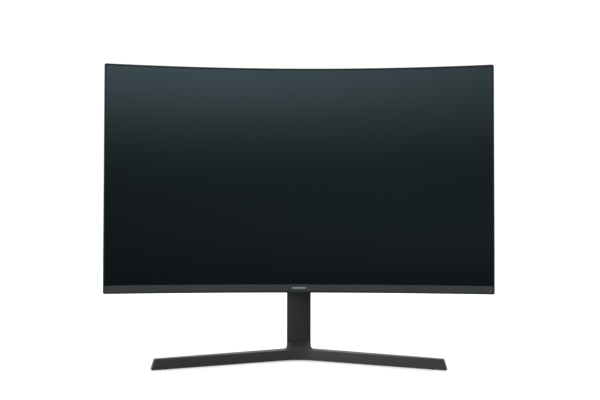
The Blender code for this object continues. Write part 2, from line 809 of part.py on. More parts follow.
def rear_cover(look):
    wall = COVER_WALL
    cover = add(cover_shell(), *bay_walls())
    bay = box(
        "bay", (BAY_LEFT, BAY_DEEP_Y, FOOT_LOW - 6 * MM), (BAY_RIGHT, 20 * MM, BAY_CEILING)
    )
    window = box(
        "window",
        (BAY_LEFT + 4 * MM, BOARD_BACK_Y - 0.6 * MM, BAY_CEILING - MM),
        (BAY_RIGHT - 4 * MM, MM, BAY_CEILING + wall + MM),
    )
    cut(cover, bay, window)
    # recess for the tilt bracket, with the floor that its screws clamp
    recess = RECESS_HALF + wall
    block = box(
        "block",
        (-recess, RECESS_Y - 2.2 * MM, HINGE_Z - recess),
        (recess, PLATEAU_Y - 0.5 * MM, HINGE_Z + recess),
    )
    pocket = box(
        "pocket",
        (-RECESS_HALF, RECESS_Y, HINGE_Z - RECESS_HALF),
        (RECESS_HALF, 20 * MM, HINGE_Z + RECESS_HALF),
    )
    cut(add(cover, block), pocket)
    holes = [(p, 2.4 * MM) for p in mount_points()] + [(p, 1.8 * MM) for p in cover_screw_points()]
    drills = [rod("drill", p, r, 0.0, 20 * MM, "Y", ROUND_SMALL) for p, r in holes]
    cut(cover, gather("drills", drills), vent_slots())
    # pod for the control stick
    add(cover, set_on_arc(stick_pod(), STICK_ARC))
    hollow = prism("hollow", stick_outline(COVER_WALL), 9.2 * MM, POD_BACK - COVER_WALL, "Y")
    opening = rod("opening", (0.0, STICK_Z), 7.4 * MM, 15 * MM, 30 * MM, "Y")
    cut(cover, set_on_arc(hollow, STICK_ARC), set_on_arc(opening, STICK_ARC))
    finish(cover, look["cover"], smooth=True)


def stick_outline(inset):
    half, tall = 28 * MM - inset, 15 * MM - inset
    return rounded_rectangle(
        (-half, STICK_Z - tall), (half, STICK_Z + tall), max(6 * MM - inset, 3 * MM)
    )


def stick_pod():
    """A low pod with sloping sides, drawn with Y as the depth behind the screen."""
    wide = stick_outline(-3 * MM)
    narrow = stick_outline(0.0)
    count = len(wide)
    vertices = [(x, SKIN_DEPTH - 1.2 * MM, z) for x, z in wide]
    vertices += [(x, POD_BACK, z) for x, z in narrow]
    faces = [tuple(range(count)), tuple(range(count, 2 * count))]
    faces += [(i, (i + 1) % count, count + (i + 1) % count, count + i) for i in range(count)]
    return mesh_object("pod", vertices, faces)


def cover_screws(look):
    for number, point in enumerate(cover_screw_points(), 1):
        profile = [(1.5, -2.0), (1.5, 10.3), (3.4, 10.3), (3.4, 11.2), (2.6, 12.0)]
        screw = turned(
            f"cover_screw_{number}",
            point,
            "Y",
            [(r * MM, y * MM) for r, y in profile],
            ROUND_SMALL,
        )
        finish(screw, look["dark_steel"], smooth=True)


# ------------------------------------------------------------ control stick


def square_ring(name, outer, inner, low, high):
    made = box(name, (-outer, low, STICK_Z - outer), (outer, high, STICK_Z + outer))
    hole = box("hole", (-inner, low - MM, STICK_Z - inner), (inner, high + MM, STICK_Z + inner))
    return cut(made, hole)


def control_stick(look):
    """Five-way stick: the gimbal leans about the upright axis, the carrier in it about the level one."""
    board = box(
        "stick_board",
        (-23 * MM, TRAY_BACK + 0.5 * MM, STICK_Z - 11 * MM),
        (23 * MM, TRAY_BACK + 1.7 * MM, STICK_Z + 11 * MM),
    )
    finish(set_on_arc(board, STICK_ARC), look["board"])
    floor = TRAY_BACK + 2.0 * MM
    housing = box(
        "stick_housing",
        (-5.6 * MM, floor, STICK_Z - 5.6 * MM),
        (5.6 * MM, 16 * MM, STICK_Z + 5.6 * MM),
    )
    well = box(
        "well",
        (-4.3 * MM, floor + MM, STICK_Z - 4.3 * MM),
        (4.3 * MM, 17 * MM, STICK_Z + 4.3 * MM),
    )
    finish(set_on_arc(cut(housing, well), STICK_ARC), look["stick"])
    gimbal = square_ring("stick_gimbal", 3.8 * MM, 2.8 * MM, 13.3 * MM, 15.1 * MM)
    carrier = square_ring("stick_carrier", 2.3 * MM, 1.4 * MM, 13.1 * MM, 15.3 * MM)
    stem = box(
        "stick_cap",
        (-1.0 * MM, 13.2 * MM, STICK_Z - 1.0 * MM),
        (1.0 * MM, 20 * MM, STICK_Z + 1.0 * MM),
    )
    knob = turned(
        "knob",
        (0.0, STICK_Z),
        "Y",
        [(r * MM, y * MM) for r, y in ((5.0, 18.8), (5.5, 19.3), (5.5, 23.6), (4.7, 24.6))],
    )
    cap = add(stem, knob)
    pivots = (
        (gimbal, "steel", "stick_lean_pivot"),
        (carrier, "steel", "stick_nod_pivot"),
        (cap, "stick", "stick_press_pivot"),
    )
    centre = Vector(on_arc(STICK_ARC, STICK_PIVOT, STICK_Z))
    holder = None
    for piece, finish_name, pivot_name in pivots:
        finish(set_on_arc(piece, STICK_ARC), look[finish_name])
        pivot = empty(pivot_name, centre)
        hang_on(piece, pivot)
        if holder:
            hang_on(pivot, holder)
        holder = pivot


def empty(name, place):
    made = bpy.data.objects.new(name, None)
    made.empty_display_size = 10 * MM
    made.location = place
    bpy.context.scene.collection.objects.link(made)
    return made


def hang_on(piece, pivot):
    """Parents a piece to an empty on its joint's axis without moving the piece."""
    bpy.context.view_layer.update()
    piece.parent = pivot
    piece.matrix_parent_inverse = pivot.matrix_world.inverted()


# -------------------------------------------------------------------- hinge


def tilt_bracket(look):
    half = RECESS_HALF - 1.5 * MM
    front = RECESS_Y + GAP
    plate = prism(
        "tilt_bracket",
        rounded_rectangle((-half, HINGE_Z - half), (half, HINGE_Z + half), 5 * MM),
        front,
        BRACKET_BACK,
        "Y",
    )
    root = 16 * MM
    ear = [(BRACKET_BACK - MM, HINGE_Z + root), (BRACKET_BACK - MM, HINGE_Z - root)]
    ear += arc((HINGE_Y, HINGE_Z), EYE_R, -80, 80, 10)
    for side in (-1, 1):
        near, far = sorted((side * EAR_INNER, side * EAR_OUTER))
        add(plate, prism("ear", ear, near, far, "X"))
    bore = rod("bore", (HINGE_Y, HINGE_Z), SHAFT_R + SHAFT_PLAY, -30 * MM, 30 * MM, "X")
    drills = [rod("drill", p, 2.4 * MM, 0.0, 20 * MM, "Y", ROUND_SMALL) for p in mount_points()]
    finish(cut(plate, bore, gather("drills", drills)), look["dark_steel"])


def bracket_screws(look):
    for number, point in enumerate(mount_points(), 1):
        profile = [(1.95, 0.0), (1.95, 9.6), (3.9, 9.6), (3.9, 11.0), (3.0, 12.0)]
        screw = turned(
            f"bracket_screw_{number}",
            point,
            "Y",
            [(r * MM, y * MM) for r, y in profile],
            ROUND_SMALL,
        )
        finish(screw, look["steel"], smooth=True)


def hinge(look):
    """Shaft, washers and nut that clamp the bracket's ears on the hinge block."""
    centre = (HINGE_Y, HINGE_Z)
    outside = EAR_OUTER + GAP
    shaft = turned(
        "hinge_shaft",
        centre,
        "X",
        [
            (7.5 * MM, -outside - 4 * MM),
            (7.5 * MM, -outside),
            (SHAFT_R, -outside),
            (SHAFT_R, 25 * MM),
        ],
    )
    finish(shaft, look["steel"], smooth=True)
    bore = SHAFT_R + SHAFT_PLAY
    for name, side in (("friction_washer_left", -1), ("friction_washer_right", 1)):
        near, far = sorted((side * (LUG_HALF + GAP), side * (EAR_INNER - GAP)))
        washer = ring(name, centre, "X", bore, 9 * MM, near, far)
        finish(washer, look["dark_steel"], smooth=True)
    spring = ring("spring_washer", centre, "X", bore, 8 * MM, outside, outside + 2 * MM)
    finish(spring, look["steel"], smooth=True)
    nut_low = outside + 2 * MM + GAP
    nut = ring("hinge_nut", centre, "X", bore, 7.5 * MM, nut_low, nut_low + 5 * MM, 6)
    finish(nut, look["steel"])


def hinge_block(look):
    """Solid block in the top of the neck core, with the eye that the shaft turns in."""
    inner = CORE_HALF - CORE_WALL - GAP
    block = box(
        "hinge_block",
        (-inner, CORE_FRONT + CORE_WALL + GAP, COLUMN_TOP - 40 * MM),
        (inner, CORE_BACK, COLUMN_TOP),
    )
    front, low, clear = CORE_FRONT + CORE_WALL + GAP, COLUMN_TOP - 5 * MM, COLUMN_TOP + 4 * MM
    lug = [(front, low), (CORE_BACK, low), (CORE_BACK, clear)]
    lug += arc((HINGE_Y, HINGE_Z), EYE_R, -10, 190, 12)
    lug += [(front, clear)]
    add(block, prism("lug", lug, -LUG_HALF, LUG_HALF, "X"))
    bore = rod("bore", (HINGE_Y, HINGE_Z), SHAFT_R + SHAFT_PLAY, -20 * MM, 20 * MM, "X")
    finish(cut(block, bore), look["dark_steel"])


def hinge_cover(look):
    """Housing round the hinge, open towards the screen and below for the neck core."""
    low, high = COLUMN_TOP + GAP, HINGE_Z + 27 * MM
    half, back, wall, chamfer = 31 * MM, 68 * MM, 2 * MM, 2.4 * MM

    def outline(inset, front):
        radius = 12 * MM - inset
        points = [(half - inset, front)]
        points += arc((half - inset - radius, back - inset - radius), radius, 0, 90, 6)
        points += arc((inset + radius - half, back - inset - radius), radius, 90, 180, 6)
        return points + [(inset - half, front)]

    def housing(name, inset, front, bottom, top):
        small, full = outline(inset + chamfer, front), outline(inset, front)
        rings = ((small, bottom), (full, bottom + chamfer), (full, top - chamfer), (small, top))
        return stack(name, rings)

    shell = housing("hinge_cover", 0.0, COLUMN_FRONT, low, high)
    hollow = housing("hollow", wall, COLUMN_FRONT - 5 * MM, low + wall, high - wall)
    neck_way = box(
        "neck_way",
        (-CORE_HALF - GAP, CORE_FRONT - GAP, low - MM),
        (CORE_HALF + GAP, CORE_BACK + GAP, low + 3 * MM),
    )
    finish(cut(shell, hollow, neck_way), look["stand"], smooth=True)


# -------------------------------------------------------------------- stand


def neck_core(look):
    """Steel channel, open to the rear, with a solid foot that the base screws enter."""
    inner = CORE_HALF - CORE_WALL
    channel = [
        (-CORE_HALF, CORE_FRONT),
        (CORE_HALF, CORE_FRONT),
        (CORE_HALF, CORE_BACK),
        (inner, CORE_BACK),
        (inner, CORE_FRONT + CORE_WALL),
        (-inner, CORE_FRONT + CORE_WALL),
        (-inner, CORE_BACK),
        (-CORE_HALF, CORE_BACK),
    ]
    bottom = CORE_FLOOR + GAP
    core = prism("neck_core", channel, bottom, COLUMN_TOP + 2 * MM)
    foot = box(
        "foot", (-inner - MM, CORE_FRONT + MM, bottom), (inner + MM, CORE_BACK, bottom + 24 * MM)
    )
    drills = [
        rod("drill", (0.0, y), 3.3 * MM, bottom - MM, bottom + 20 * MM, "Z", ROUND_SMALL)
        for y in BASE_SCREWS_Y
    ]
    finish(cut(add(core, foot), gather("drills", drills)), look["dark_steel"])


def column_covers(look):
    half, wall = COLUMN_HALF, COLUMN_WALL
    bottom = HUB_TOP + GAP

    def front_path(inset):
        """Front face with a slight crown, between two rounded corners."""
        radius = 4.5 * MM - inset
        side, face = half - inset, COLUMN_FRONT + inset
        points = [(side, COLUMN_SPLIT - GAP / 2)]
        points += arc((side - radius, face + radius), radius, 0, -90, 4)
        points += [(9 * MM, face - 0.35 * MM), (0.0, face - 0.5 * MM), (-9 * MM, face - 0.35 * MM)]
        points += arc((radius - side, face + radius), radius, -90, -180, 4)
        return points + [(-side, COLUMN_SPLIT - GAP / 2)]

    def back_path(inset):
        radius = 7 * MM - inset
        side, face = half - inset, COLUMN_BACK - inset
        points = [(side, COLUMN_SPLIT + GAP / 2)]
        points += arc((side - radius, face - radius), radius, 0, 90, 4)
        points += arc((radius - side, face - radius), radius, 90, 180, 4)
        return points + [(-side, COLUMN_SPLIT + GAP / 2)]

    for name, path in (("column_front_cover", front_path), ("column_rear_cover", back_path)):
        outline = path(0.0) + list(reversed(path(wall)))
        finish(prism(name, outline, bottom, COLUMN_TOP), look["stand"], smooth=True)


def cable_clip(look):
    """C-shaped guide on the back of the column, with its mouth to the rear."""
    middle, radius, thick = COLUMN_BACK + 12 * MM, 11 * MM, 2.2 * MM
    outer = arc((0.0, middle), radius, -250, 70, 20)
    inner = arc((0.0, middle), radius - thick, 70, -250, 20)
    clip = prism("cable_clip", outer + inner, 148 * MM, 164 * MM)
    foot = box(
        "foot",
        (-8 * MM, COLUMN_BACK + GAP, 148 * MM),
        (8 * MM, COLUMN_BACK + 2.5 * MM, 164 * MM),
    )
    finish(add(clip, foot), look["stand"], smooth=True)


def base_plan():
    """The two legs seen from above: a wide V with a rounded inside and tapering legs."""
    tan, cos = math.tan(LEG_ANGLE), math.cos(LEG_ANGLE)
    centre_y = APEX_Y - APEX_R
    line_y = centre_y + APEX_R / cos  # where the two front edges would cross
    reach = LEG_TIP_X + 8 * MM
    tip_front = line_y - tan * reach
    tip_back = tip_front + LEG_TIP_WIDTH / cos
    root_back = line_y - tan * COLUMN_HALF + LEG_ROOT_WIDTH / cos
    turn = math.degrees(LEG_ANGLE)
    front = arc((0.0, centre_y), APEX_R, 90 + turn, 90 - turn, 10)
    right = [(reach, tip_front), (reach, tip_back), (COLUMN_HALF, root_back)]
    left = [(-x, y) for x, y in reversed(right)]
    return front + right + left


def inset_outline(points, distance):
    """Moves each side of a closed clockwise outline inwards by a distance."""
    moved = []
    for i, here in enumerate(points):
        before, after = points[i - 1], points[(i + 1) % len(points)]
        normals = []
        for a, b in ((before, here), (here, after)):
            length = math.hypot(b[0] - a[0], b[1] - a[1])
            normals.append(((b[1] - a[1]) / length, (a[0] - b[0]) / length))
        (ax, ay), (bx, by) = normals
        scale = distance / (1 + ax * bx + ay * by)
        moved.append((here[0] + (ax + bx) * scale, here[1] + (ay + by) * scale))
    return moved


def legs():
    chamfer = 0.8 * MM
    plan = base_plan()
    made = stack(
        "base_casting",
        ((plan, BASE_BOTTOM), (plan, LEG_TOP - chamfer), (inset_outline(plan, chamfer), LEG_TOP)),
    )
    # the ends are cut square across each leg, leaning inwards towards the top
    past = TIP_SLANT * 4 * MM / (LEG_TOP - BASE_BOTTOM)
    end = [
        (past, BASE_BOTTOM - 4 * MM),
        (20 * MM, BASE_BOTTOM - 4 * MM),
        (20 * MM, LEG_TOP + 4 * MM),
        (-TIP_SLANT - past, LEG_TOP + 4 * MM),
    ]
    corner_y = APEX_Y - APEX_R + APEX_R / math.cos(LEG_ANGLE) - math.tan(LEG_ANGLE) * LEG_TIP_X
    for side in (-1, 1):
        cutter = prism("end", [(side * x, z) for x, z in end], -20 * MM, 30 * MM, "Y")
        turn = Matrix.Rotation(-side * LEG_ANGLE, 4, "Z")
        cutter.data.transform(Matrix.Translation((side * LEG_TIP_X, corner_y, 0)) @ turn)
        cut(made, cutter)
    return made


def hub_side():
    """The hub seen from the side: a ramp up to the column, and a tail behind it."""
    bottom = BASE_BOTTOM + 0.2 * MM
    return [
        (APEX_Y + 0.4 * MM, bottom),
        (APEX_Y + 0.4 * MM, LEG_TOP - 0.4 * MM),
        (COLUMN_FRONT, HUB_TOP),
        (COLUMN_BACK + MM, HUB_TOP),
        (TAIL_END + MM, 18 * MM),
        (TAIL_END + MM, bottom),
    ]


def base_casting(look):
    base = legs()
    hub = prism("hub", hub_side(), -COLUMN_HALF, COLUMN_HALF, "X")
    tail = arc((0.0, TAIL_END - COLUMN_HALF), COLUMN_HALF, 0, 180, 14)
    plan = [(-COLUMN_HALF, -20 * MM), (COLUMN_HALF, -20 * MM)] + tail
    keep_inside(hub, prism("plan", plan, -10 * MM, 50 * MM))
    add(base, hub)
    # fillets between the hub's sides and the tops of the legs
    radius = 5 * MM
    sunk = LEG_TOP - 2 * MM
    for side in (-1, 1):
        bell = [(COLUMN_HALF - 2 * MM, sunk), (COLUMN_HALF + radius, sunk)]
        bell += arc((COLUMN_HALF + radius, LEG_TOP + radius), radius, 270, 180, 5)
        bell += [(COLUMN_HALF - 2 * MM, LEG_TOP + radius)]
        outline = [(side * x, z) for x, z in bell]
        fillet = prism("fillet", outline, -2 * MM, 13 * MM, "Y")
        slope = [(y, z - 0.1 * MM) for y, z in hub_side()]
        add(base, keep_inside(fillet, prism("slope", slope, -40 * MM, 40 * MM, "X")))
    pocket = box(
        "pocket",
        (-CORE_HALF - GAP, CORE_FRONT - GAP, CORE_FLOOR),
        (CORE_HALF + GAP, CORE_BACK + GAP, HUB_TOP + 5 * MM),
    )
    tools = []
    for y in BASE_SCREWS_Y:
        steps = [(6.1, 0.0), (6.1, 4.6), (3.3, 4.6), (3.3, 9.0)]
        tools.append(
            turned("drill", (0.0, y), "Z", [(r * MM, z * MM) for r, z in steps], ROUND_SMALL)
        )
    for place, radius in foot_pads():
        tools.append(rod("seat", place, radius + GAP, 0.0, PAD_HEIGHT + GAP, sides=ROUND_SMALL))
    finish(cut(base, pocket, gather("tools", tools)), look["base"])


def foot_pads():
    """Middle and radius of each rubber pad."""
    places = []
    for x, y, radius in ((204, -74.9, 4.0), (62, -12.1, 6.5)):
        places += [((side * x * MM, y * MM), radius * MM) for side in (-1, 1)]
    return places + [((0.0, 78 * MM), 9 * MM)]


def feet_and_screws(look):
    for number, (place, radius) in enumerate(foot_pads(), 1):
        pad = rod(f"foot_pad_{number}", place, radius, 0.0, PAD_HEIGHT, sides=ROUND_SMALL)
        finish(pad, look["rubber"], smooth=True)
    for number, y in enumerate(BASE_SCREWS_Y, 1):
        steps = [(4.8, 1.3), (5.7, 2.0), (5.7, 4.3), (3.0, 4.3), (3.0, 26.0)]
        screw = turned(
            f"base_screw_{number}",
            (0.0, y),
            "Z",
            [(r * MM, z * MM) for r, z in steps],
            ROUND_SMALL,
        )
        finish(screw, look["steel"], smooth=True)


# --------------------------------------------------------------------- main


def clear_scene():
    for obj in list(bpy.data.objects):
        bpy.data.objects.remove(obj)


def main():
    clear_scene()
    look = finishes()
    middle_frame(look)
    display_stack(look)
    chin(look)
    light_pipe(look)
    chassis(look)
    mount_plate(look)
    main_board(look)
    heat_sink(look)
    led_driver_board(look)
    sockets(look)
    connector_plate(look)
    flat_cable(look)
    rear_cover(look)
    cover_screws(look)
    control_stick(look)
    tilt_bracket(look)
    bracket_screws(look)
    hinge(look)
    # so far every piece belongs to the head, which tilts about the hinge's shaft
    pivot = empty("tilt_pivot", Vector((0.0, HINGE_Y, HINGE_Z)))
    for piece in list(bpy.data.objects):
        if piece.parent is None and piece is not pivot:
            hang_on(piece, pivot)
    hinge_block(look)
    hinge_cover(look)
    neck_core(look)
    column_covers(look)
    cable_clip(look)
    base_casting(look)
    feet_and_screws(look)


main()
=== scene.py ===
"""Looks of the curved computer monitor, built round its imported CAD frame.

Metres, +Z up, screen towards -Y. Every outer piece is made again here with rounded edges and
fine curves in the place of its CAD node. The inner pieces are the CAD nodes themselves.
"""

import json
import math

import bmesh
import bpy
from mathutils import Matrix, Vector

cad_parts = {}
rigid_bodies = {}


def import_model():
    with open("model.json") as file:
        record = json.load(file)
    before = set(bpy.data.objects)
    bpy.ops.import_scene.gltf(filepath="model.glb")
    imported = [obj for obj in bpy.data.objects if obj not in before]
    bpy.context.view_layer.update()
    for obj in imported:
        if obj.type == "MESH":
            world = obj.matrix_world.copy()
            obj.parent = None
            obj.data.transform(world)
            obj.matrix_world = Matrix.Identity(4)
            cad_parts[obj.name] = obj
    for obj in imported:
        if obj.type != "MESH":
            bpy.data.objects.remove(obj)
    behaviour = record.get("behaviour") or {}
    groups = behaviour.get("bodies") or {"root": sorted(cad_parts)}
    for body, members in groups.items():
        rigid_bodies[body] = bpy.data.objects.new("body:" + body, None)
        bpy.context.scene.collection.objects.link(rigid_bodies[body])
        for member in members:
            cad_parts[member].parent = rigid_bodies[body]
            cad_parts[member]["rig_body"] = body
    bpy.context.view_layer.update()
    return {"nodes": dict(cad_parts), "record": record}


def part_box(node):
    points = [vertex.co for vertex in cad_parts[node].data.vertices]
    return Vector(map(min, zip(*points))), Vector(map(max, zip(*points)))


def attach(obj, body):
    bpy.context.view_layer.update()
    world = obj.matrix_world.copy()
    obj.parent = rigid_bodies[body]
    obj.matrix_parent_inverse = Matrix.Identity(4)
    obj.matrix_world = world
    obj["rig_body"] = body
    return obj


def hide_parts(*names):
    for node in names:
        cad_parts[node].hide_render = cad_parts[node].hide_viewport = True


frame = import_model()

MM = 0.001
GAP = 0.3 * MM  # between neighbouring pieces that touch on the real object
NO_INSET = 1e-9  # smaller insets leave an outline as it is

# The screen is part of an upright cylinder, whose axis stands in front of it
SCREEN_R = 1500 * MM
SCREEN_Y = -30 * MM
ARC_STEP = 6 * MM  # between the lines across a curved piece
FRAME_BACK = 9.8 * MM  # depths are measured behind the screen's front surface
RIM = 1.9 * MM
LEDGE = 3.0 * MM
LEDGE_FRONT, LEDGE_BACK = 2.4 * MM, 3.4 * MM
CELL_FRONT, CELL_BACK = 0.5 * MM, 2.1 * MM
CORNER_R = 3.0 * MM
CORNER_GAP = 0.45 * MM

frame_low, frame_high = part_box("middle_frame")
HEAD_LOW, HEAD_HIGH = frame_low.z, frame_high.z
HALF_ANGLE = math.asin(frame_high.x / (SCREEN_R + FRAME_BACK))
HALF_ARC = SCREEN_R * HALF_ANGLE
CHIN_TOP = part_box("chin_trim")[1].z

# Power light: its pipe and the way cut for it, each as (half width, front, back)
LIGHT_PIPE = 2.6 * MM, 6.0 * MM, 7.7 * MM
LIGHT_WAY = 3 * MM, 5.6 * MM, 8.2 * MM

# Rear cover
COVER_WALL = 2.0 * MM
COVER_INSET = 0.4 * MM
COVER_FRONT = FRAME_BACK + GAP
EDGE_DEPTH = 11.3 * MM
SKIN_DEPTH = 14.0 * MM
EDGE_SLOPE = 9.0 * MM
PLATEAU_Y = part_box("rear_cover")[1].y
PLATEAU_HALF, FOOT_HALF = 158 * MM, 196 * MM
PLATEAU_LOW, PLATEAU_HIGH = 192 * MM, 392 * MM
FOOT_LOW, FOOT_HIGH = 158 * MM, 426 * MM
BAY_LEFT, BAY_RIGHT = -146 * MM, -14 * MM
BAY_DEEP_Y = -14 * MM
BAY_CEILING = 194 * MM

# Tilt hinge
HINGE_Y, HINGE_Z = 42 * MM, 292 * MM
MOUNT_HALF = 50 * MM
RECESS_HALF = 56 * MM
RECESS_Y = 6.5 * MM

# Control stick
STICK_ARC = 226 * MM
STICK_Z = 138 * MM
POD_BACK = 22 * MM

# Column and base
column_low, column_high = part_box("column_front_cover")
COLUMN_HALF = column_high.x
COLUMN_TOP = column_high.z
HUB_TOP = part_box("base_casting")[1].z
COLUMN_FRONT, COLUMN_BACK = 22 * MM, 62 * MM
COLUMN_SPLIT = 44 * MM
COLUMN_WALL = 2.2 * MM
CORE_HALF, CORE_FRONT, CORE_BACK = 14 * MM, 30 * MM, 54 * MM
BASE_BOTTOM, LEG_TOP = 1.0 * MM, 16.7 * MM
LEG_TIP_X = 222.5 * MM
LEG_ANGLE = math.radians(22.6)
LEG_ROOT_WIDTH, LEG_TIP_WIDTH = 20 * MM, 10 * MM
APEX_Y, APEX_R = -1 * MM, 60 * MM
TIP_SLANT = 4.9 * MM
TAIL_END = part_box("base_casting")[1].y

SHARP = 35  # degrees between faces, above which an edge is shown sharp
SLOTS = {part["node"]: part["material_slot"] for part in frame["record"]["subparts"]}


# ------------------------------------------------------------- mesh making


def linked(name, data):
    """A new object of the scene with the given data."""
    made = bpy.data.objects.new(name, data)
    bpy.context.scene.collection.objects.link(made)
    return made


def mesh_piece(name, points, faces):
    """A piece from its points and faces, with all faces turned outwards."""
    mesh = bpy.data.meshes.new(name)
    mesh.from_pydata(points, [], faces)
    work = bmesh.new()
    work.from_mesh(mesh)
    bmesh.ops.recalc_face_normals(work, faces=work.faces)
    work.to_mesh(mesh)
    work.free()
    return linked(name, mesh)


def loft(name, loops, closed=False):
    """Joins loops of equal length by quads, and fills both ends unless the last meets the first."""
    count = len(loops[0])
    faces = []
    for k in range(len(loops) if closed else len(loops) - 1):
        m = (k + 1) % len(loops)
        for i in range(count):
            j = (i + 1) % count
            faces.append((k * count + i, k * count + j, m * count + j, m * count + i))
    if not closed:
        faces += [tuple(range(count)), tuple(range(len(loops) * count - count, len(loops) * count))]
    return mesh_piece(name, [p for loop in loops for p in loop], faces)


# Where a point of a flat outline (a, b) goes, at a place c along each axis
PLACE = {
    "X": lambda a, b, c: (c, a, b),
    "Y": lambda a, b, c: (a, c, b),
    "Z": lambda a, b, c: (a, b, c),
}


def inset_outline(points, distance):
    """Moves each side of a closed outline inwards by a distance."""
    area = sum(p[0] * q[1] - q[0] * p[1] for p, q in zip(points, points[1:] + points[:1]))
    sign = -1 if area > 0 else 1
    moved = []
    for i, here in enumerate(points):
        normals = []
        for a, b in ((points[i - 1], here), (here, points[(i + 1) % len(points)])):
            length = math.hypot(b[0] - a[0], b[1] - a[1])
            normals.append((sign * (b[1] - a[1]) / length, sign * (a[0] - b[0]) / length))
        (ax, ay), (bx, by) = normals
        scale = distance / max(1 + ax * bx + ay * by, 0.3)
        moved.append((here[0] + (ax + bx) * scale, here[1] + (ay + by) * scale))
    return moved


def quarter(ease, steps):
    """The (inset, distance from the end) of the levels that round an edge."""
    turns = [0.5 * math.pi * k / steps for k in range(steps + 1)]
    return [(ease * (1 - math.sin(t)), ease * (1 - math.cos(t))) for t in turns]


def slab(name, outline, low, high, axis="Z", ease=0.0):
    """An outline drawn out along an axis, with the edges of both ends rounded by ease."""
    place = PLACE[axis]
    levels = quarter(ease, 3) if ease else [(0.0, 0.0)]
    ends = [(inset, low + up) for inset, up in levels]
    ends += [(inset, high - up) for inset, up in reversed(levels)]
    loops = []
    for inset, along in ends:
        ring = inset_outline(outline, inset) if inset > NO_INSET else outline
        loops.append([place(a, b, along) for a, b in ring])
    return loft(name, loops)


def box(name, low, high):
    """A sharp box between two corners."""
    outline = [(low[0], low[1]), (high[0], low[1]), (high[0], high[1]), (low[0], high[1])]
    return slab(name, outline, low[2], high[2])


def arc(centre, radius, start, end, steps):
    """Points of a circle from a start angle to an end angle, in degrees."""
    angles = [math.radians(start + (end - start) * i / steps) for i in range(steps + 1)]
    return [(centre[0] + radius * math.cos(t), centre[1] + radius * math.sin(t)) for t in angles]


def rounded(corners, steps=6):
    """An outline whose corners (x, y, radius) are drawn as curves, or stay sharp at radius 0."""
    made = []
    for i, (x, y, radius) in enumerate(corners):
        here = Vector((x, y))
        if not radius:
            made.append((x, y))
            continue
        back = Vector(corners[i - 1][:2]) - here
        on = Vector(corners[(i + 1) % len(corners)][:2]) - here
        reach = min(radius / math.tan(back.angle(on) / 2), 0.49 * back.length, 0.49 * on.length)
        start, end = here + back.normalized() * reach, here + on.normalized() * reach
        for k in range(steps + 1):
            t = k / steps
            made.append(tuple(start * (1 - t) ** 2 + here * (2 * t * (1 - t)) + end * t**2))
    return made


def rectangle(low, high, radius, steps=6):
    corners = ((low[0], low[1]), (high[0], low[1]), (high[0], high[1]), (low[0], high[1]))
    return rounded([(x, y, radius) for x, y in corners], steps)


def turned(name, centre, axis, profile, sides=48):
    """A solid of revolution. The profile lists (radius, place along the axis) from end to end."""
    place = PLACE[axis]
    turns = [2 * math.pi * i / sides for i in range(sides)]
    loops = [
        [place(centre[0] + r * math.cos(t), centre[1] + r * math.sin(t), along) for t in turns]
        for r, along in profile
    ]
    return loft(name, loops)


def rod(name, centre, radius, low, high, axis="Z", sides=48):
    return turned(name, centre, axis, [(radius, low), (radius, high)], sides)


def combine(target, tool, operation):
    """Applies a Boolean of the tool to the target, and removes the tool."""
    modifier = target.modifiers.new(operation.title(), "BOOLEAN")
    modifier.operation = operation
    modifier.solver = "EXACT"
    modifier.object = tool
    view = bpy.context.evaluated_depsgraph_get()
    mesh = bpy.data.meshes.new_from_object(target.evaluated_get(view))
    target.modifiers.clear()
    target.data = mesh
    bpy.data.objects.remove(tool)
    return target


def split_caps(piece):
    """Divides the many-sided faces into triangles, which Booleans handle better."""
    work = bmesh.new()
    work.from_mesh(piece.data)
    bmesh.ops.triangulate(work, faces=[f for f in work.faces if len(f.verts) > 4])
    work.to_mesh(piece.data)
    work.free()
    return piece


def cut(target, *tools):
    for tool in tools:
        combine(target, tool, "DIFFERENCE")
    return target


def add(target, *tools):
    for tool in tools:
        combine(target, tool, "UNION")
    return target


def gather(name, pieces):
    """One mesh of several separate solids."""
    work = bmesh.new()
    for piece in pieces:
        work.from_mesh(piece.data)
        bpy.data.objects.remove(piece)
    mesh = bpy.data.meshes.new(name)
    work.to_mesh(mesh)
    work.free()
    return linked(name, mesh)


def shade(piece, sharp):
    """Smooth shading, broken at edges that turn more than the angle, in degrees."""
    piece.data.shade_smooth()
    piece.data.set_sharp_from_angle(angle=math.radians(sharp))


def settle(piece, look, *nodes, ease=0.0, sharp=SHARP):
    """Gives a finished piece its material, shading and body, in the place of its CAD nodes."""
    piece.data.materials.clear()
    piece.data.materials.append(look)
    shade(piece, sharp)
    if ease:
        bevel = piece.modifiers.new("Ease", "BEVEL")
        bevel.width = ease
        bevel.segments = 2
        bevel.limit_method = "ANGLE"
        bevel.angle_limit = math.radians(40)
    piece.modifiers.new("Normals", "WEIGHTED_NORMAL").keep_sharp = True
    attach(piece, frame["nodes"][nodes[0]]["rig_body"])
    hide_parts(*nodes)
    return piece


def eased_copy(node, look, ease=0.25 * MM):
    """The CAD node's own shape with its facets joined, its edges eased and its curves smooth."""
    work = bmesh.new()
    work.from_mesh(frame["nodes"][node].data)
    bmesh.ops.remove_doubles(work, verts=work.verts, dist=1e-6)
    flat = math.radians(0.5)
    bmesh.ops.dissolve_limit(work, angle_limit=flat, verts=work.verts, edges=work.edges)
    mesh = bpy.data.meshes.new(node + "_eased")
    work.to_mesh(mesh)
    work.free()
    return settle(linked(node + "_eased", mesh), look, node, ease=ease)


# ---------------------------------------------------- shapes round the screen


def on_arc(along, depth, height):
    """The place of a point given along the screen's arc, behind its surface, and in height."""
    angle = along / SCREEN_R
    radius = SCREEN_R + depth
    return (radius * math.sin(angle), SCREEN_Y - SCREEN_R + radius * math.cos(angle), height)


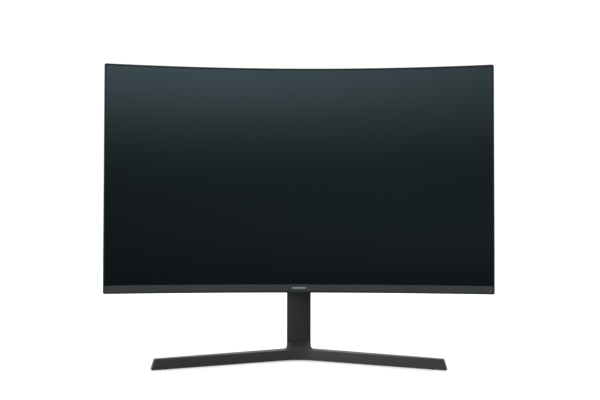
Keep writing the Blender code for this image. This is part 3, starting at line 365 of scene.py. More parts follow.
def set_on_arc(piece, along):
    """Moves a piece drawn with X along the arc and Y behind the screen to its place."""
    turn = Matrix.Rotation(-along / SCREEN_R, 4, "Z")
    piece.data.transform(Matrix.Translation(Vector(on_arc(along, 0.0, 0.0))) @ turn)
    return piece


def evenly(start, end, step):
    """Even places from start up to, but without, end."""
    count = max(1, round((end - start) / step))
    return [start + (end - start) * i / count for i in range(count)]


def arc_lines(half):
    return evenly(-half, half, ARC_STEP) + [half]


def curved_bar(name, section, half):
    """Sweeps a closed section of (depth, height) points along the screen's arc."""
    return loft(name, [[on_arc(s, d, z) for d, z in section] for s in arc_lines(half)])


def rim_path(inset):
    """The head's rounded outline as (along, height), moved inwards."""
    radius = max(CORNER_R - inset, 0.2 * MM)
    side, low, high = HALF_ARC - inset, HEAD_LOW + inset, HEAD_HIGH - inset
    reach = HALF_ARC - CORNER_R
    run = evenly(-reach, reach, ARC_STEP)[1:]
    path = [(s, low) for s in run]
    path += arc((side - radius, low + radius), radius, -90, 0, 8)
    path += arc((side - radius, high - radius), radius, 0, 90, 8)
    path += [(s, high) for s in reversed(run)]
    path += arc((radius - side, high - radius), radius, 90, 180, 8)
    path += arc((radius - side, low + radius), radius, 180, 270, 8)
    return path


# ---------------------------------------------------------------- materials


def coordinates(material):
    return material.node_tree.nodes.new("ShaderNodeTexCoord").outputs["Object"]


def noise(material, source, scale, detail, stretch=(1, 1, 1)):
    nodes, links = material.node_tree.nodes, material.node_tree.links
    mapping = nodes.new("ShaderNodeMapping")
    mapping.inputs["Scale"].default_value = stretch
    links.new(source, mapping.inputs["Vector"])
    texture = nodes.new("ShaderNodeTexNoise")
    texture.inputs["Scale"].default_value = scale
    texture.inputs["Detail"].default_value = detail
    links.new(mapping.outputs["Vector"], texture.inputs["Vector"])
    return texture.outputs["Fac"]


def shift(material, source, low, high):
    """Brings the middle part of a noise to a range of values."""
    node = material.node_tree.nodes.new("ShaderNodeMapRange")
    node.inputs["From Min"].default_value = 0.3
    node.inputs["From Max"].default_value = 0.7
    node.inputs["To Min"].default_value = low
    node.inputs["To Max"].default_value = high
    material.node_tree.links.new(source, node.inputs["Value"])
    return node.outputs["Result"]


def two_tone(material, source, dark, light):
    ramp = material.node_tree.nodes.new("ShaderNodeValToRGB")
    ramp.color_ramp.elements[0].position = 0.3
    ramp.color_ramp.elements[1].position = 0.7
    ramp.color_ramp.elements[0].color = (*dark, 1.0)
    ramp.color_ramp.elements[1].color = (*light, 1.0)
    material.node_tree.links.new(source, ramp.inputs["Fac"])
    return ramp.outputs["Color"]


def surface(name, colour, roughness, grain, metallic=0.0, spread=0.08, stretch=(1, 1, 1)):
    """A surface with uneven tone and gloss and a fine relief.

    grain is the relief's (size, depth) in metres. spread is how far tone and gloss vary.
    """
    material = bpy.data.materials.new(name)
    material.use_nodes = True
    nodes, links = material.node_tree.nodes, material.node_tree.links
    shader = nodes["Principled BSDF"]
    shader.inputs["Metallic"].default_value = metallic
    source = coordinates(material)
    tone = noise(material, source, 55.0, 4.0)
    dark = [c * (1 - spread) for c in colour]
    light = [c * (1 + spread) for c in colour]
    links.new(two_tone(material, tone, dark, light), shader.inputs["Base Color"])
    gloss = noise(material, source, 260.0, 2.0, stretch)
    rough = shift(material, gloss, roughness * (1 - spread), roughness * (1 + spread))
    links.new(rough, shader.inputs["Roughness"])
    size, depth = grain
    bump = nodes.new("ShaderNodeBump")
    bump.inputs["Distance"].default_value = depth
    bump.inputs["Strength"].default_value = 0.6
    links.new(noise(material, source, 1 / size, 2.0, stretch), bump.inputs["Height"])
    links.new(bump.outputs["Normal"], shader.inputs["Normal"])
    return material


def screen_film():
    """Anti-glare film over the dark panel: a broad, slightly blue-green sheen."""
    material = surface(
        "screen_film", (0.0008, 0.0013, 0.0015), 0.25, (0.5 * MM, 0.0004 * MM), spread=0.012
    )
    shader = material.node_tree.nodes["Principled BSDF"]
    shader.inputs["Specular Tint"].default_value = (0.61, 0.90, 1.0, 1.0)
    shader.inputs["IOR"].default_value = 1.5
    return material


def circuit_board():
    """Green solder mask over a pattern of tracks."""
    material = surface("circuit_board", (0.02, 0.12, 0.06), 0.4, (0.4 * MM, 0.02 * MM))
    nodes, links = material.node_tree.nodes, material.node_tree.links
    shader = nodes["Principled BSDF"]
    tracks = nodes.new("ShaderNodeTexBrick")
    tracks.inputs["Scale"].default_value = 90.0
    tracks.inputs["Mortar Size"].default_value = 0.03
    tracks.inputs["Color1"].default_value = (0.012, 0.085, 0.04, 1)
    tracks.inputs["Color2"].default_value = (0.018, 0.11, 0.052, 1)
    tracks.inputs["Mortar"].default_value = (0.05, 0.22, 0.10, 1)
    turn = nodes.new("ShaderNodeMapping")
    turn.inputs["Rotation"].default_value = (math.radians(90), 0, 0)
    links.new(coordinates(material), turn.inputs["Vector"])
    links.new(turn.outputs["Vector"], tracks.inputs["Vector"])
    links.new(tracks.outputs["Color"], shader.inputs["Base Color"])
    return material


def clear(name, colour, roughness, grain, spread, share):
    """A plastic that lets a share of the light through."""
    material = surface(name, colour, roughness, grain, spread=spread)
    shader = material.node_tree.nodes["Principled BSDF"]
    shader.inputs["Transmission Weight"].default_value = share
    return material


# name: colour, roughness, relief (size, depth) in mm, and metallic where it isn't 0
PLAIN = {
    "frame_plastic": ((0.012, 0.013, 0.014), 0.40, (0.3, 0.01)),
    "chin_plastic": ((0.024, 0.030, 0.031), 0.34, (0.35, 0.01)),
    "cover_plastic": ((0.018, 0.019, 0.020), 0.55, (0.6, 0.05)),
    "stand_plastic": ((0.016, 0.018, 0.019), 0.45, (0.4, 0.02)),
    "base_paint": ((0.025, 0.028, 0.028), 0.42, (0.5, 0.02)),
    "zinc_steel": ((0.50, 0.51, 0.52), 0.34, (0.8, 0.01), 1.0),
    "dark_steel": ((0.035, 0.036, 0.038), 0.45, (0.5, 0.02), 0.6),
    "optical_film": ((0.75, 0.76, 0.77), 0.3, (0.5, 0.01)),
    "rubber": ((0.012, 0.012, 0.012), 0.85, (0.7, 0.05)),
    "stick_plastic": ((0.015, 0.015, 0.016), 0.38, (0.3, 0.01)),
    "contact_gold": ((0.72, 0.50, 0.20), 0.28, (0.3, 0.005), 1.0),
}
# the same for brushed metal, whose noise is drawn out along X, and then the spread
BRUSHED = {
    "badge_silver": ((0.42, 0.43, 0.43), 0.35, (0.1, 0.01), 0.7, 0.1),
    "bare_aluminium": ((0.65, 0.65, 0.66), 0.32, (0.2, 0.01), 1.0, 0.08),
}
BRUSHING = (0.04, 1, 1)


def finishes():
    """All the materials by name. The names are those of the CAD's material slots."""
    look = {}
    for name, (colour, roughness, (size, depth), *metallic) in PLAIN.items():
        look[name] = surface(name, colour, roughness, (size * MM, depth * MM), *metallic)
    for name, (colour, roughness, (size, depth), metallic, spread) in BRUSHED.items():
        grain = (size * MM, depth * MM)
        look[name] = surface(name, colour, roughness, grain, metallic, spread, BRUSHING)
    look["screen_film"] = screen_film()
    look["circuit_board"] = circuit_board()
    look["acrylic"] = clear(
        "acrylic", (0.80, 0.86, 0.86), 0.12, (0.8 * MM, 0.004 * MM), 0.04, 0.7
    )
    look["light_lens"] = clear(
        "light_lens", (0.55, 0.58, 0.60), 0.3, (0.3 * MM, 0.01 * MM), 0.05, 0.4
    )
    return look


# ------------------------------------------------------------ screen side


def light_outline(size, radius):
    half, front, back = size
    return rectangle((-half, front), (half, back), radius)


def rim(look):
    """The frame's thin wall round the panel, and the ledge inside it that carries the panel."""
    ease = 0.35 * MM
    section = rounded(
        [
            (0.0, 0.0, ease),
            (RIM, 0.0, ease / 2),
            (RIM, LEDGE_FRONT, 0),
            (RIM + LEDGE, LEDGE_FRONT, 0),
            (RIM + LEDGE, LEDGE_BACK, 0),
            (RIM, LEDGE_BACK, 0),
            (RIM, FRAME_BACK, 0),
            (0.0, FRAME_BACK, ease),
        ],
        3,
    )
    loops = [[on_arc(s, depth, z) for s, z in rim_path(inset)] for inset, depth in section]
    wall = loft("frame_rim", loops, closed=True)
    outline = light_outline(LIGHT_WAY, 0.6 * MM)
    way = slab("way", outline, HEAD_LOW - MM, HEAD_LOW + RIM + MM)
    settle(cut(wall, set_on_arc(way, STICK_ARC)), look["frame_plastic"], "middle_frame")


def screen(look):
    """The curved panel, set into the rim."""
    low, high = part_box("lcd_cell")[0].z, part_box("lcd_cell")[1].z
    half = HALF_ARC - RIM - CORNER_GAP
    section = rectangle((CELL_FRONT, low), (CELL_BACK, high), 0.2 * MM, 2)
    settle(curved_bar("screen_panel", section, half), look["screen_film"], "lcd_cell")


def chin(look):
    """The strip below the screen, with a blank badge let into its middle."""
    low = HEAD_LOW + RIM + CORNER_GAP
    half = HALF_ARC - RIM - CORNER_GAP
    strip = curved_bar(
        "chin_strip", rectangle((0.0, low), (CELL_BACK, CHIN_TOP), 0.3 * MM, 3), half
    )
    badge_low, badge_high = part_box("badge_blank")
    margin = Vector((GAP, 0, GAP))
    hole_low, hole_high = badge_low - margin, badge_high + margin
    tall = (hole_high.z - hole_low.z) / 2
    hole = slab(
        "hole",
        rectangle((hole_low.x, hole_low.z), (hole_high.x, hole_high.z), 0.98 * tall, 10),
        SCREEN_Y - 2 * MM,
        SCREEN_Y + 0.9 * MM,
        "Y",
    )
    settle(cut(strip, hole), look["chin_plastic"], "chin_trim")
    pill = slab(
        "badge_pill",
        rectangle(
            (badge_low.x, badge_low.z), (badge_high.x, badge_high.z), 0.98 * (tall - GAP), 10
        ),
        badge_low.y,
        badge_high.y,
        "Y",
        0.25 * MM,
    )
    settle(pill, look["badge_silver"], "badge_blank")


def power_light(look):
    """The light pipe under the lower edge, in line with the control stick."""
    low = HEAD_LOW + 0.3 * MM
    outline = light_outline(LIGHT_PIPE, 0.5 * MM)
    pipe = slab("power_lens", outline, low, low + 5 * MM, ease=0.25 * MM)
    settle(set_on_arc(pipe, STICK_ARC), look["light_lens"], "power_light_pipe")


# -------------------------------------------------------------- rear cover


def smooth_step(t):
    """Rises from 0 to 1 with no slope at either end."""
    t = min(max(t, 0.0), 1.0)
    return t * t * (3 - 2 * t)


def ramp(place, foot, top):
    """Share of the way from a slope's foot to its top, clipped to 0 and 1."""
    return min(max((place - foot) / (top - foot), 0.0), 1.0)


def both(a, b, power):
    """Near 1 where both shares are, falling off round a rounded corner."""
    return max(0.0, 1 - ((1 - a) ** power + (1 - b) ** power) ** (1 / power))


def cover_lines(start, end, count):
    """Lines across the cover: close together at both edges, and evenly spaced between them."""
    near = [e * MM for e in (0, 0.5, 1.0, 1.6, 2.3, 3.2, 4.4, 6.0, 7.6, 9.2)]
    first, last = start + near[-1], end - near[-1]
    middle = [first + (last - first) * i / count for i in range(count + 1)]
    return [start + e for e in near[:-1]] + middle + [end - e for e in reversed(near[:-1])]


def cover_sheet(inset, wall):
    """The cover's outer face, or its inner one when wall is the thickness between them."""
    side, low, high = HALF_ARC - inset, HEAD_LOW + inset, HEAD_HIGH - inset
    columns = cover_lines(-side, side, 148)
    rows = cover_lines(low, high, 86)
    radius = max(CORNER_R - inset, 0.5 * MM)
    edge = COVER_FRONT + 0.2 * MM if wall else EDGE_DEPTH
    skin, plateau = SKIN_DEPTH - wall, PLATEAU_Y - 1.1 * wall
    points, fronts = [], []
    for s in columns:
        for z in rows:
            in_s, in_z = side - abs(s), min(z - low, high - z)
            slope = both(min(in_s / EDGE_SLOPE, 1), min(in_z / EDGE_SLOPE, 1), 2)
            if in_s < radius and in_z < radius:
                a, b = radius - in_s, radius - in_z
                pull = max(a, b) / math.hypot(a, b)
                in_s, in_z = radius - a * pull, radius - b * pull
            place = math.copysign(side - in_s, s)
            height = low + in_z if z < (low + high) / 2 else high - in_z
            depth = edge + (skin - edge) * math.sqrt(1 - (1 - slope) ** 2)
            x, y, _ = on_arc(place, depth, 0.0)
            across = ramp(abs(s), FOOT_HALF - wall, PLATEAU_HALF - wall / 2)
            up = min(
                ramp(z, FOOT_LOW + wall, PLATEAU_LOW + wall / 2),
                ramp(z, FOOT_HIGH - wall, PLATEAU_HIGH - wall / 2),
            )
            points.append((x, y + smooth_step(both(across, up, 2.5)) * (plateau - y), height))
            fronts.append(on_arc(place, COVER_FRONT, height))
    wide, tall = len(columns), len(rows)
    border = [i * tall for i in range(wide)]
    border += [(wide - 1) * tall + j for j in range(1, tall)]
    border += [i * tall + tall - 1 for i in range(wide - 2, -1, -1)]
    border += list(range(tall - 2, 0, -1))
    quads = [
        (a, a + 1, a + tall + 1, a + tall)
        for i in range(wide - 1)
        for a in range(i * tall, i * tall + tall - 1)
    ]
    return points, [fronts[k] for k in border], border, quads


def cover_shell():
    """The outer and the inner face of the cover, joined round its front edge."""
    points, faces, loops = [], [], []
    for inset, wall in ((COVER_INSET, 0.0), (COVER_INSET + COVER_WALL, COVER_WALL)):
        grid, front, border, quads = cover_sheet(inset, wall)
        start = len(points)
        points += grid + front
        faces += [tuple(start + i for i in quad) for quad in quads]
        loops.append([start + i for i in border])
        loops.append([start + len(grid) + i for i in range(len(border))])
    outer_edge, outer_front, inner_edge, inner_front = loops
    for a, b in ((outer_edge, outer_front), (outer_front, inner_front), (inner_front, inner_edge)):
        for i in range(len(a)):
            j = (i + 1) % len(a)
            faces.append((a[i], a[j], b[j], b[i]))
    return mesh_piece("back_shell", points, faces)


def lower_slope(x):
    """(Y, Z) points up the middle of the wall of the cover's lower slope."""
    skin_y = SCREEN_Y - SCREEN_R + math.sqrt((SCREEN_R + SKIN_DEPTH) ** 2 - x**2)
    half_wall = COVER_WALL / 2
    rise = PLATEAU_Y - skin_y
    steps = [k / 16 for k in range(17)]
    return [
        (
            skin_y + smooth_step(t) * rise - half_wall,
            FOOT_LOW + half_wall + t * (PLATEAU_LOW - FOOT_LOW),
        )
        for t in steps
    ]


def slope_height(x, y):
    """How high the middle of the lower slope's wall is at a depth Y."""
    points = lower_slope(x)
    for (y0, z0), (y1, z1) in zip(points, points[1:]):
        if y0 <= y <= y1:
            return z0 + (z1 - z0) * (y - y0) / (y1 - y0)
    return points[0][1]


def bay_walls():
    """Ceiling, two sides and the deep wall of the socket bay, each reaching into the slope."""
    wall = COVER_WALL
    deep, top = BAY_DEEP_Y - wall, BAY_CEILING + wall
    left, right = BAY_LEFT - wall, BAY_RIGHT + wall
    walls = [box("ceiling", (left, deep, BAY_CEILING), (right, PLATEAU_Y - MM, top))]
    for low, high in ((left, BAY_LEFT), (BAY_RIGHT, right)):
        middle = (low + high) / 2
        outline = [(deep, slope_height(middle, deep))]
        outline += [p for p in lower_slope(middle) if p[0] > deep + 0.1 * MM]
        outline += [(PLATEAU_Y - MM, top), (deep, top)]
        walls.append(slab("side", outline, low, high, "X"))
    middle = BAY_DEEP_Y - wall / 2
    outline = [(left, slope_height(left, middle)), (right, slope_height(right, middle))]
    outline += [(right, top), (left, top)]
    walls.append(slab("deep", outline, deep, BAY_DEEP_Y, "Y"))
    return walls


def vent_slots():
    """Slots with round ends through the upper slope and the plain half of the lower one."""
    half, tall = 1.4 * MM, 17 * MM
    upper, lower = 401 * MM, 166 * MM
    first, pitch, count = 20, 10.5, 12
    slots = []
    for i in range(count):
        x = (first + pitch * i) * MM
        for middle, low in ((-x, upper), (x, upper), (x, lower)):
            corners = (middle - half, low), (middle + half, low + tall)
            outline = rectangle(*corners, 0.98 * half, 4)
            slots.append(slab("slot", outline, -24 * MM, 20 * MM, "Y"))
    return slots


def stick_outline(inset):
    """The pod's outline from behind, moved inwards."""
    half, tall = 28 * MM - inset, 15 * MM - inset
    radius = max(6 * MM - inset, 3 * MM)
    return rectangle((-half, STICK_Z - tall), (half, STICK_Z + tall), radius, 8)


def stick_pod():
    """The pod's body: sloping sides and a rounded rear edge."""
    loops = [[(x, SKIN_DEPTH - 1.2 * MM, z) for x, z in stick_outline(-3 * MM)]]
    for drop, inset in quarter(1.6 * MM, 5):
        loops.append([(x, POD_BACK - drop, z) for x, z in stick_outline(inset)])
    return loft("pod", loops)


def screw_places(half, low, high):
    return [(x, z) for x in (-half, half) for z in (low, high)]


MOUNT_PLACES = screw_places(MOUNT_HALF, HINGE_Z - MOUNT_HALF, HINGE_Z + MOUNT_HALF)
COVER_SCREW_PLACES = screw_places(138 * MM, 212 * MM, 374 * MM)


def rear_cover(look):
    """The cover with its socket bay, mount pocket, screw holes, vents and stick pod."""
    wall = COVER_WALL
    cover = add(cover_shell(), *bay_walls())
    bay = box("bay", (BAY_LEFT, BAY_DEEP_Y, FOOT_LOW - 6 * MM), (BAY_RIGHT, 20 * MM, BAY_CEILING))
    window = box(
        "window",
        (BAY_LEFT + 4 * MM, -12.6 * MM, BAY_CEILING - MM),
        (BAY_RIGHT - 4 * MM, MM, BAY_CEILING + wall + MM),
    )
    cut(cover, bay, window)
    recess = RECESS_HALF + wall
    block = box(
        "block",
        (-recess, RECESS_Y - 2.2 * MM, HINGE_Z - recess),
        (recess, PLATEAU_Y - 0.5 * MM, HINGE_Z + recess),
    )
    outline = rectangle(
        (-RECESS_HALF, HINGE_Z - RECESS_HALF), (RECESS_HALF, HINGE_Z + RECESS_HALF), 5 * MM, 8
    )
    rise = ((0.0, RECESS_Y), (0.0, PLATEAU_Y - 0.5 * MM), (-0.7 * MM, PLATEAU_Y + 0.2 * MM))
    pocket = loft("pocket", [[(x, y, z) for x, z in inset_outline(outline, e)] for e, y in rise])
    cut(add(cover, block), pocket)
    holes = [(p, 2.4 * MM) for p in MOUNT_PLACES] + [(p, 1.8 * MM) for p in COVER_SCREW_PLACES]
    drills = [rod("drill", p, r, 0.0, 20 * MM, "Y", 32) for p, r in holes]
    cut(cover, gather("openings", drills + vent_slots()))
    add(cover, set_on_arc(stick_pod(), STICK_ARC))
    hollow = slab("hollow", stick_outline(wall), 9.2 * MM, POD_BACK - wall, "Y")
    dish = turned(
        "dish",
        (0.0, STICK_Z),
        "Y",
        [(7.4 * MM, 15 * MM), (7.4 * MM, 20.6 * MM), (10.4 * MM, 22.05 * MM), (12 * MM, 26 * MM)],
        64,
    )
    cut(cover, set_on_arc(hollow, STICK_ARC), set_on_arc(dish, STICK_ARC))
    settle(cover, look["cover_plastic"], "rear_cover")


def screw(name, centre, base, length, shank, head, tall):
    """A pan-head screw from behind, with a cross recess. base is its head's underside."""
    profile = [
        (shank, base - length),
        (shank, base),
        (head, base),
        (head, base + 0.5 * tall),
        (0.93 * head, base + 0.8 * tall),
        (0.75 * head, base + tall),
    ]
    body = turned(name, centre, "Y", profile, 32)
    top, floor = base + 1.4 * tall, base + 0.25 * tall
    bars = []
    for long, wide in ((0.55, 0.14), (0.14, 0.55)):
        outline = [
            (centre[0] + a * long * head, centre[1] + b * wide * head)
            for a, b in ((-1, -1), (1, -1), (1, 1), (-1, 1))
        ]
        bars.append(slab("bar", outline, floor, top, "Y"))
    return cut(body, *bars)


def screws(look):
    """The cover's dark screws and the bracket's zinc ones. Sizes are in mm, as in screw."""
    groups = (
        ("cover_screw", COVER_SCREW_PLACES, (10.3, 12, 1.5, 3.4, 1.7), "dark_steel"),
        ("bracket_screw", MOUNT_PLACES, (9.6, 9.6, 1.95, 3.9, 2.4), "zinc_steel"),
    )
    for kind, places, sizes, finish in groups:
        for number, place in enumerate(places, 1):
            node = f"{kind}_{number}"
            made = screw(node + "_cross", place, *(size * MM for size in sizes))
            settle(made, look[finish], node)


# ------------------------------------------------------------------ sockets


def socket_outline(node, trim):
    """The mouth of a flat socket seen along Z: a rectangle with two or one sloping corners."""
    low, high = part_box(node)
    x0, x1, y0, y1 = low.x, high.x, low.y, high.y
    slope = 1.7 * MM
    corners = [(x0, y0), (x1, y0), (x1, y1 - slope), (x1 - slope, y1)]
    corners += [(x0 + slope, y1), (x0, y1 - slope)] if node.startswith("hdmi") else [(x0, y1)]
    radius = 0.4 * MM - 0.4 * trim
    return rounded([(x, y, radius) for x, y in inset_outline(corners, trim)], 4)


def plan_middle(low, high):
    return (low.x + high.x) / 2, (low.y + high.y) / 2


def flat_socket(node, look):
    """A metal shell with a plastic tongue, which carries a row of contacts."""
    low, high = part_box(node)
    shell = slab(node + "_shell", socket_outline(node, 0.0), low.z, high.z)
    mouth = slab("mouth", socket_outline(node, 0.5 * MM), low.z - MM, high.z - 3 * MM)
    cut(shell, mouth)
    centre, middle = plan_middle(low, high)
    half, thick = (high.x - low.x) / 3, 0.6 * MM
    tongue = slab(
        node + "_tongue",
        rectangle((centre - half, middle - thick), (centre + half, middle + thick), 0.2 * MM, 2),
        low.z + 1.5 * MM,
        high.z - 2.9 * MM,
        ease=0.15 * MM,
    )
    contacts = []
    for i in range(9):
        x = centre - 0.8 * half + 1.6 * half * i / 8
        contacts.append(
            box(
                "contact",
                (x - 0.25 * MM, middle + thick, low.z + 1.9 * MM),
                (x + 0.25 * MM, middle + 0.72 * MM, high.z - 3.2 * MM),
            )
        )
    strips = gather(node + "_contacts", contacts)
    settle(shell, look["zinc_steel"], node, ease=0.08 * MM)
    for piece, finish_name in ((tongue, "stick_plastic"), (strips, "contact_gold")):
        piece.data.materials.append(look[finish_name])
        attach(piece, "head")


def round_socket(node, look):
    """A block with a round mouth and a metal lining. The power inlet also has a pin."""
    low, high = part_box(node)
    centre = plan_middle(low, high)
    radius = 3.2 * MM if node == "power_inlet" else 1.8 * MM
    body = slab(
        node + "_body",
        rectangle((low.x, low.y), (high.x, high.y), 0.5 * MM),
        low.z,
        high.z,
        ease=0.25 * MM,
    )
    mouth = turned(
        "mouth",
        centre,
        "Z",
        [
            (radius + MM, low.z - MM),
            (radius + 0.3 * MM, low.z),
            (radius, low.z + 0.5 * MM),
            (radius, high.z - 2 * MM),
        ],
    )
    settle(cut(body, mouth), look["stick_plastic"], node)
    lining = cut(
        rod(node + "_lining", centre, radius - 0.02 * MM, low.z + 0.8 * MM, high.z - 2.2 * MM),
        rod("bore", centre, radius - 0.3 * MM, low.z, high.z - 2.6 * MM),
    )
    pieces = [(lining, "zinc_steel")]
    if node == "power_inlet":
        profile = [(MM, high.z - 2.4 * MM), (MM, low.z + 2.2 * MM), (0.6 * MM, low.z + 1.6 * MM)]
        pieces.append((turned(node + "_pin", centre, "Z", profile, 24), "contact_gold"))
    for piece, finish_name in pieces:
        piece.data.materials.append(look[finish_name])
        shade(piece, SHARP)
        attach(piece, "head")


def sockets(look):
    for node in ("hdmi_socket_1", "hdmi_socket_2", "displayport_socket"):
        flat_socket(node, look)
    for node in ("power_inlet", "audio_socket"):
        round_socket(node, look)


# ------------------------------------------------------------ control stick


def stick_cap(look):
    """The knob, with a fluted side and a shallow dish, on its square stem."""
    sides, flutes, flute_depth = 96, 16, 0.22
    # radius and depth in mm, and how much of the flutes' depth is there
    profile = (
        (4.7, 18.8, 0.0),
        (5.35, 19.2, 0.0),
        (5.5, 19.8, 1.0),
        (5.5, 23.2, 1.0),
        (5.3, 24.1, 0.3),
        (4.8, 24.55, 0.0),
        (4.2, 24.6, 0.0),
        (3.4, 24.25, 0.0),
        (1.8, 23.95, 0.0),
        (0.4, 23.9, 0.0),
    )
    loops = []
    for radius, depth, share in profile:
        ring = []
        for i in range(sides):
            turn = 2 * math.pi * i / sides
            reach = (radius - flute_depth * share * (0.5 + 0.5 * math.cos(flutes * turn))) * MM
            ring.append((reach * math.cos(turn), depth * MM, STICK_Z + reach * math.sin(turn)))
        loops.append(ring)
    knob = loft("stick_knob", loops)
    stem = box("stem", (-MM, 13.2 * MM, STICK_Z - MM), (MM, 20 * MM, STICK_Z + MM))
    settle(set_on_arc(add(knob, stem), STICK_ARC), look["stick_plastic"], "stick_cap")


# --------------------------------------------------------- hinge and column


def hinge_cover(look):
    """Housing round the hinge, open towards the screen, with soft rear corners and edges."""
    low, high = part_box("hinge_cover")
    half, back, wall = high.x, high.y, 2 * MM

    def level(inset, front):
        radius = 12 * MM - inset
        points = [(half - inset, front)]
        points += arc((half - inset - radius, back - inset - radius), radius, 0, 90, 10)
        points += arc((inset + radius - half, back - inset - radius), radius, 90, 180, 10)
        return points + [(inset - half, front)]

    def housing(name, inset, front, bottom, top, ease):
        turns = quarter(ease, 6)
        levels = [(inset + a, bottom + b) for a, b in turns]
        levels += [(inset + b, top - a) for a, b in turns]
        return loft(name, [[(x, y, z) for x, y in level(e, front)] for e, z in levels])

    shell = housing("hinge_housing", 0.0, low.y, low.z, high.z, 4 * MM)
    hollow = housing("hollow", wall, low.y - 5 * MM, low.z + wall, high.z - wall, 2.5 * MM)
    neck_way = box(
        "neck_way",
        (-CORE_HALF - GAP, CORE_FRONT - GAP, low.z - MM),
        (CORE_HALF + GAP, CORE_BACK + GAP, low.z + 3 * MM),
    )
    settle(cut(shell, hollow, neck_way), look["stand_plastic"], "hinge_cover")


def column_covers(look):
    """The column's front and rear mouldings, which meet at its sides."""
    half, wall = COLUMN_HALF, COLUMN_WALL
    bottom = column_low.z

    def front_path(inset):
        """A crowned front face between two narrow strips that turn round to the sides."""
        side, middle = half - inset, COLUMN_FRONT - 0.45 * MM + inset
        strip, fall = half - 3.4 * MM, 1.5 * MM
        radius = 2.6 * MM - 0.8 * inset
        shoulder = middle + fall + 0.45 * MM
        right = [(side, COLUMN_SPLIT - GAP / 2)]
        right += arc((side - radius, shoulder + radius), radius, 0, -90, 8)
        if not inset:
            right += [(strip + 0.25 * MM, shoulder - 0.05 * MM), (strip, shoulder - 0.4 * MM)]
        for k in range(12):
            x = strip * (1 - k / 11)
            right.append((x - 0.2 * MM * (k == 0), middle + fall * (x / strip) ** 2))
        return right + [(-x, y) for x, y in reversed(right[:-1])]

    def back_path(inset):
        radius = 7 * MM - inset
        side, face = half - inset, COLUMN_BACK - inset
        points = [(side, COLUMN_SPLIT + GAP / 2)]
        points += arc((side - radius, face - radius), radius, 0, 90, 12)
        points += arc((radius - side, face - radius), radius, 90, 180, 12)
        return points + [(-side, COLUMN_SPLIT + GAP / 2)]

    for name, path in (("column_front", front_path), ("column_rear", back_path)):
        outline = path(0.0) + list(reversed(path(wall)))
        made = slab(name + "_moulding", outline, bottom, COLUMN_TOP)
        settle(made, look["stand_plastic"], name + "_cover", sharp=30)


def cable_clip(look):
    """C-shaped guide on the back of the column, with its mouth to the rear."""
    low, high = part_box("cable_clip")
    middle, radius, thick = COLUMN_BACK + 12 * MM, 11 * MM, 2.2 * MM
    outline = arc((0.0, middle), radius, -250, 70, 64)
    for angle, start, end in ((70, 70, 250), (-250, -70, 110)):
        turn, out = math.radians(angle), radius - thick / 2
        lip = (out * math.cos(turn), middle + out * math.sin(turn))
        outline += arc(lip, thick / 2, start, end, 8)[1:-1]
        if angle == 70:
            outline += arc((0.0, middle), radius - thick, 70, -250, 64)
    clip = slab("cable_guide", outline, low.z, high.z, ease=0.5 * MM)
    foot = slab(
        "foot",
        rectangle((-8 * MM, COLUMN_BACK + GAP), (8 * MM, COLUMN_BACK + 2.5 * MM), 0.8 * MM),
        low.z,
        high.z,
        ease=0.5 * MM,
    )
    settle(add(clip, foot), look["stand_plastic"], "cable_clip")


# --------------------------------------------------------------------- base


def leg_plan(tip_x):
    """The two legs seen from above: a wide V with a rounded inside, and ends cut square."""
    sin, cos, tan = math.sin(LEG_ANGLE), math.cos(LEG_ANGLE), math.tan(LEG_ANGLE)
    centre_y = APEX_Y - APEX_R
    line_y = centre_y + APEX_R / cos
    full = LEG_TIP_X + 8 * MM
    root_back = line_y - tan * COLUMN_HALF + LEG_ROOT_WIDTH / cos
    full_back = line_y - tan * full + LEG_TIP_WIDTH / cos
    back_slope = (full_back - root_back) / (full - COLUMN_HALF)
    tip_y = line_y - tan * tip_x
    reach = (root_back + back_slope * (tip_x - COLUMN_HALF) - tip_y) / (cos - back_slope * sin)
    ease = 2.2 * MM
    half = [
        (tip_x, tip_y, ease),
        (tip_x + reach * sin, tip_y + reach * cos, ease),
        (COLUMN_HALF, root_back, 0),
    ]
    turn = math.degrees(LEG_ANGLE)
    front = [(x, y, 0) for x, y in arc((0.0, centre_y), APEX_R, 90 + turn, 90 - turn, 28)]
    return rounded(front + half + [(-x, y, r) for x, y, r in reversed(half)], 5)


def legs():
    """The legs, with ends that lean in towards the top and edges rounded at top and bottom."""
    tall = LEG_TOP - BASE_BOTTOM
    levels = [(inset, BASE_BOTTOM + up) for inset, up in quarter(0.6 * MM, 4)]
    levels += [(inset, LEG_TOP - up) for inset, up in reversed(quarter(1.0 * MM, 4))]
    loops = []
    for inset, z in levels:
        lean = TIP_SLANT * (z - BASE_BOTTOM) / tall
        outline = leg_plan(LEG_TIP_X - lean * math.cos(LEG_ANGLE))
        if inset > NO_INSET:
            outline = inset_outline(outline, inset)
        loops.append([(x, y, z) for x, y in outline])
    return loft("base_legs", loops)


def hub_side():
    """The hub from the side: a ramp up to the column, and a tail behind it."""
    bottom = BASE_BOTTOM + 0.2 * MM
    front = APEX_Y + 0.4 * MM
    end = TAIL_END + MM
    return rounded(
        [
            (front, bottom, 0),
            (front, LEG_TOP - 0.4 * MM, 0),
            (COLUMN_FRONT, HUB_TOP, 1.5 * MM),
            (COLUMN_BACK + MM, HUB_TOP, 12 * MM),
            (end, 18 * MM, 1.5 * MM),
            (end, bottom, 0),
        ],
        5,
    )


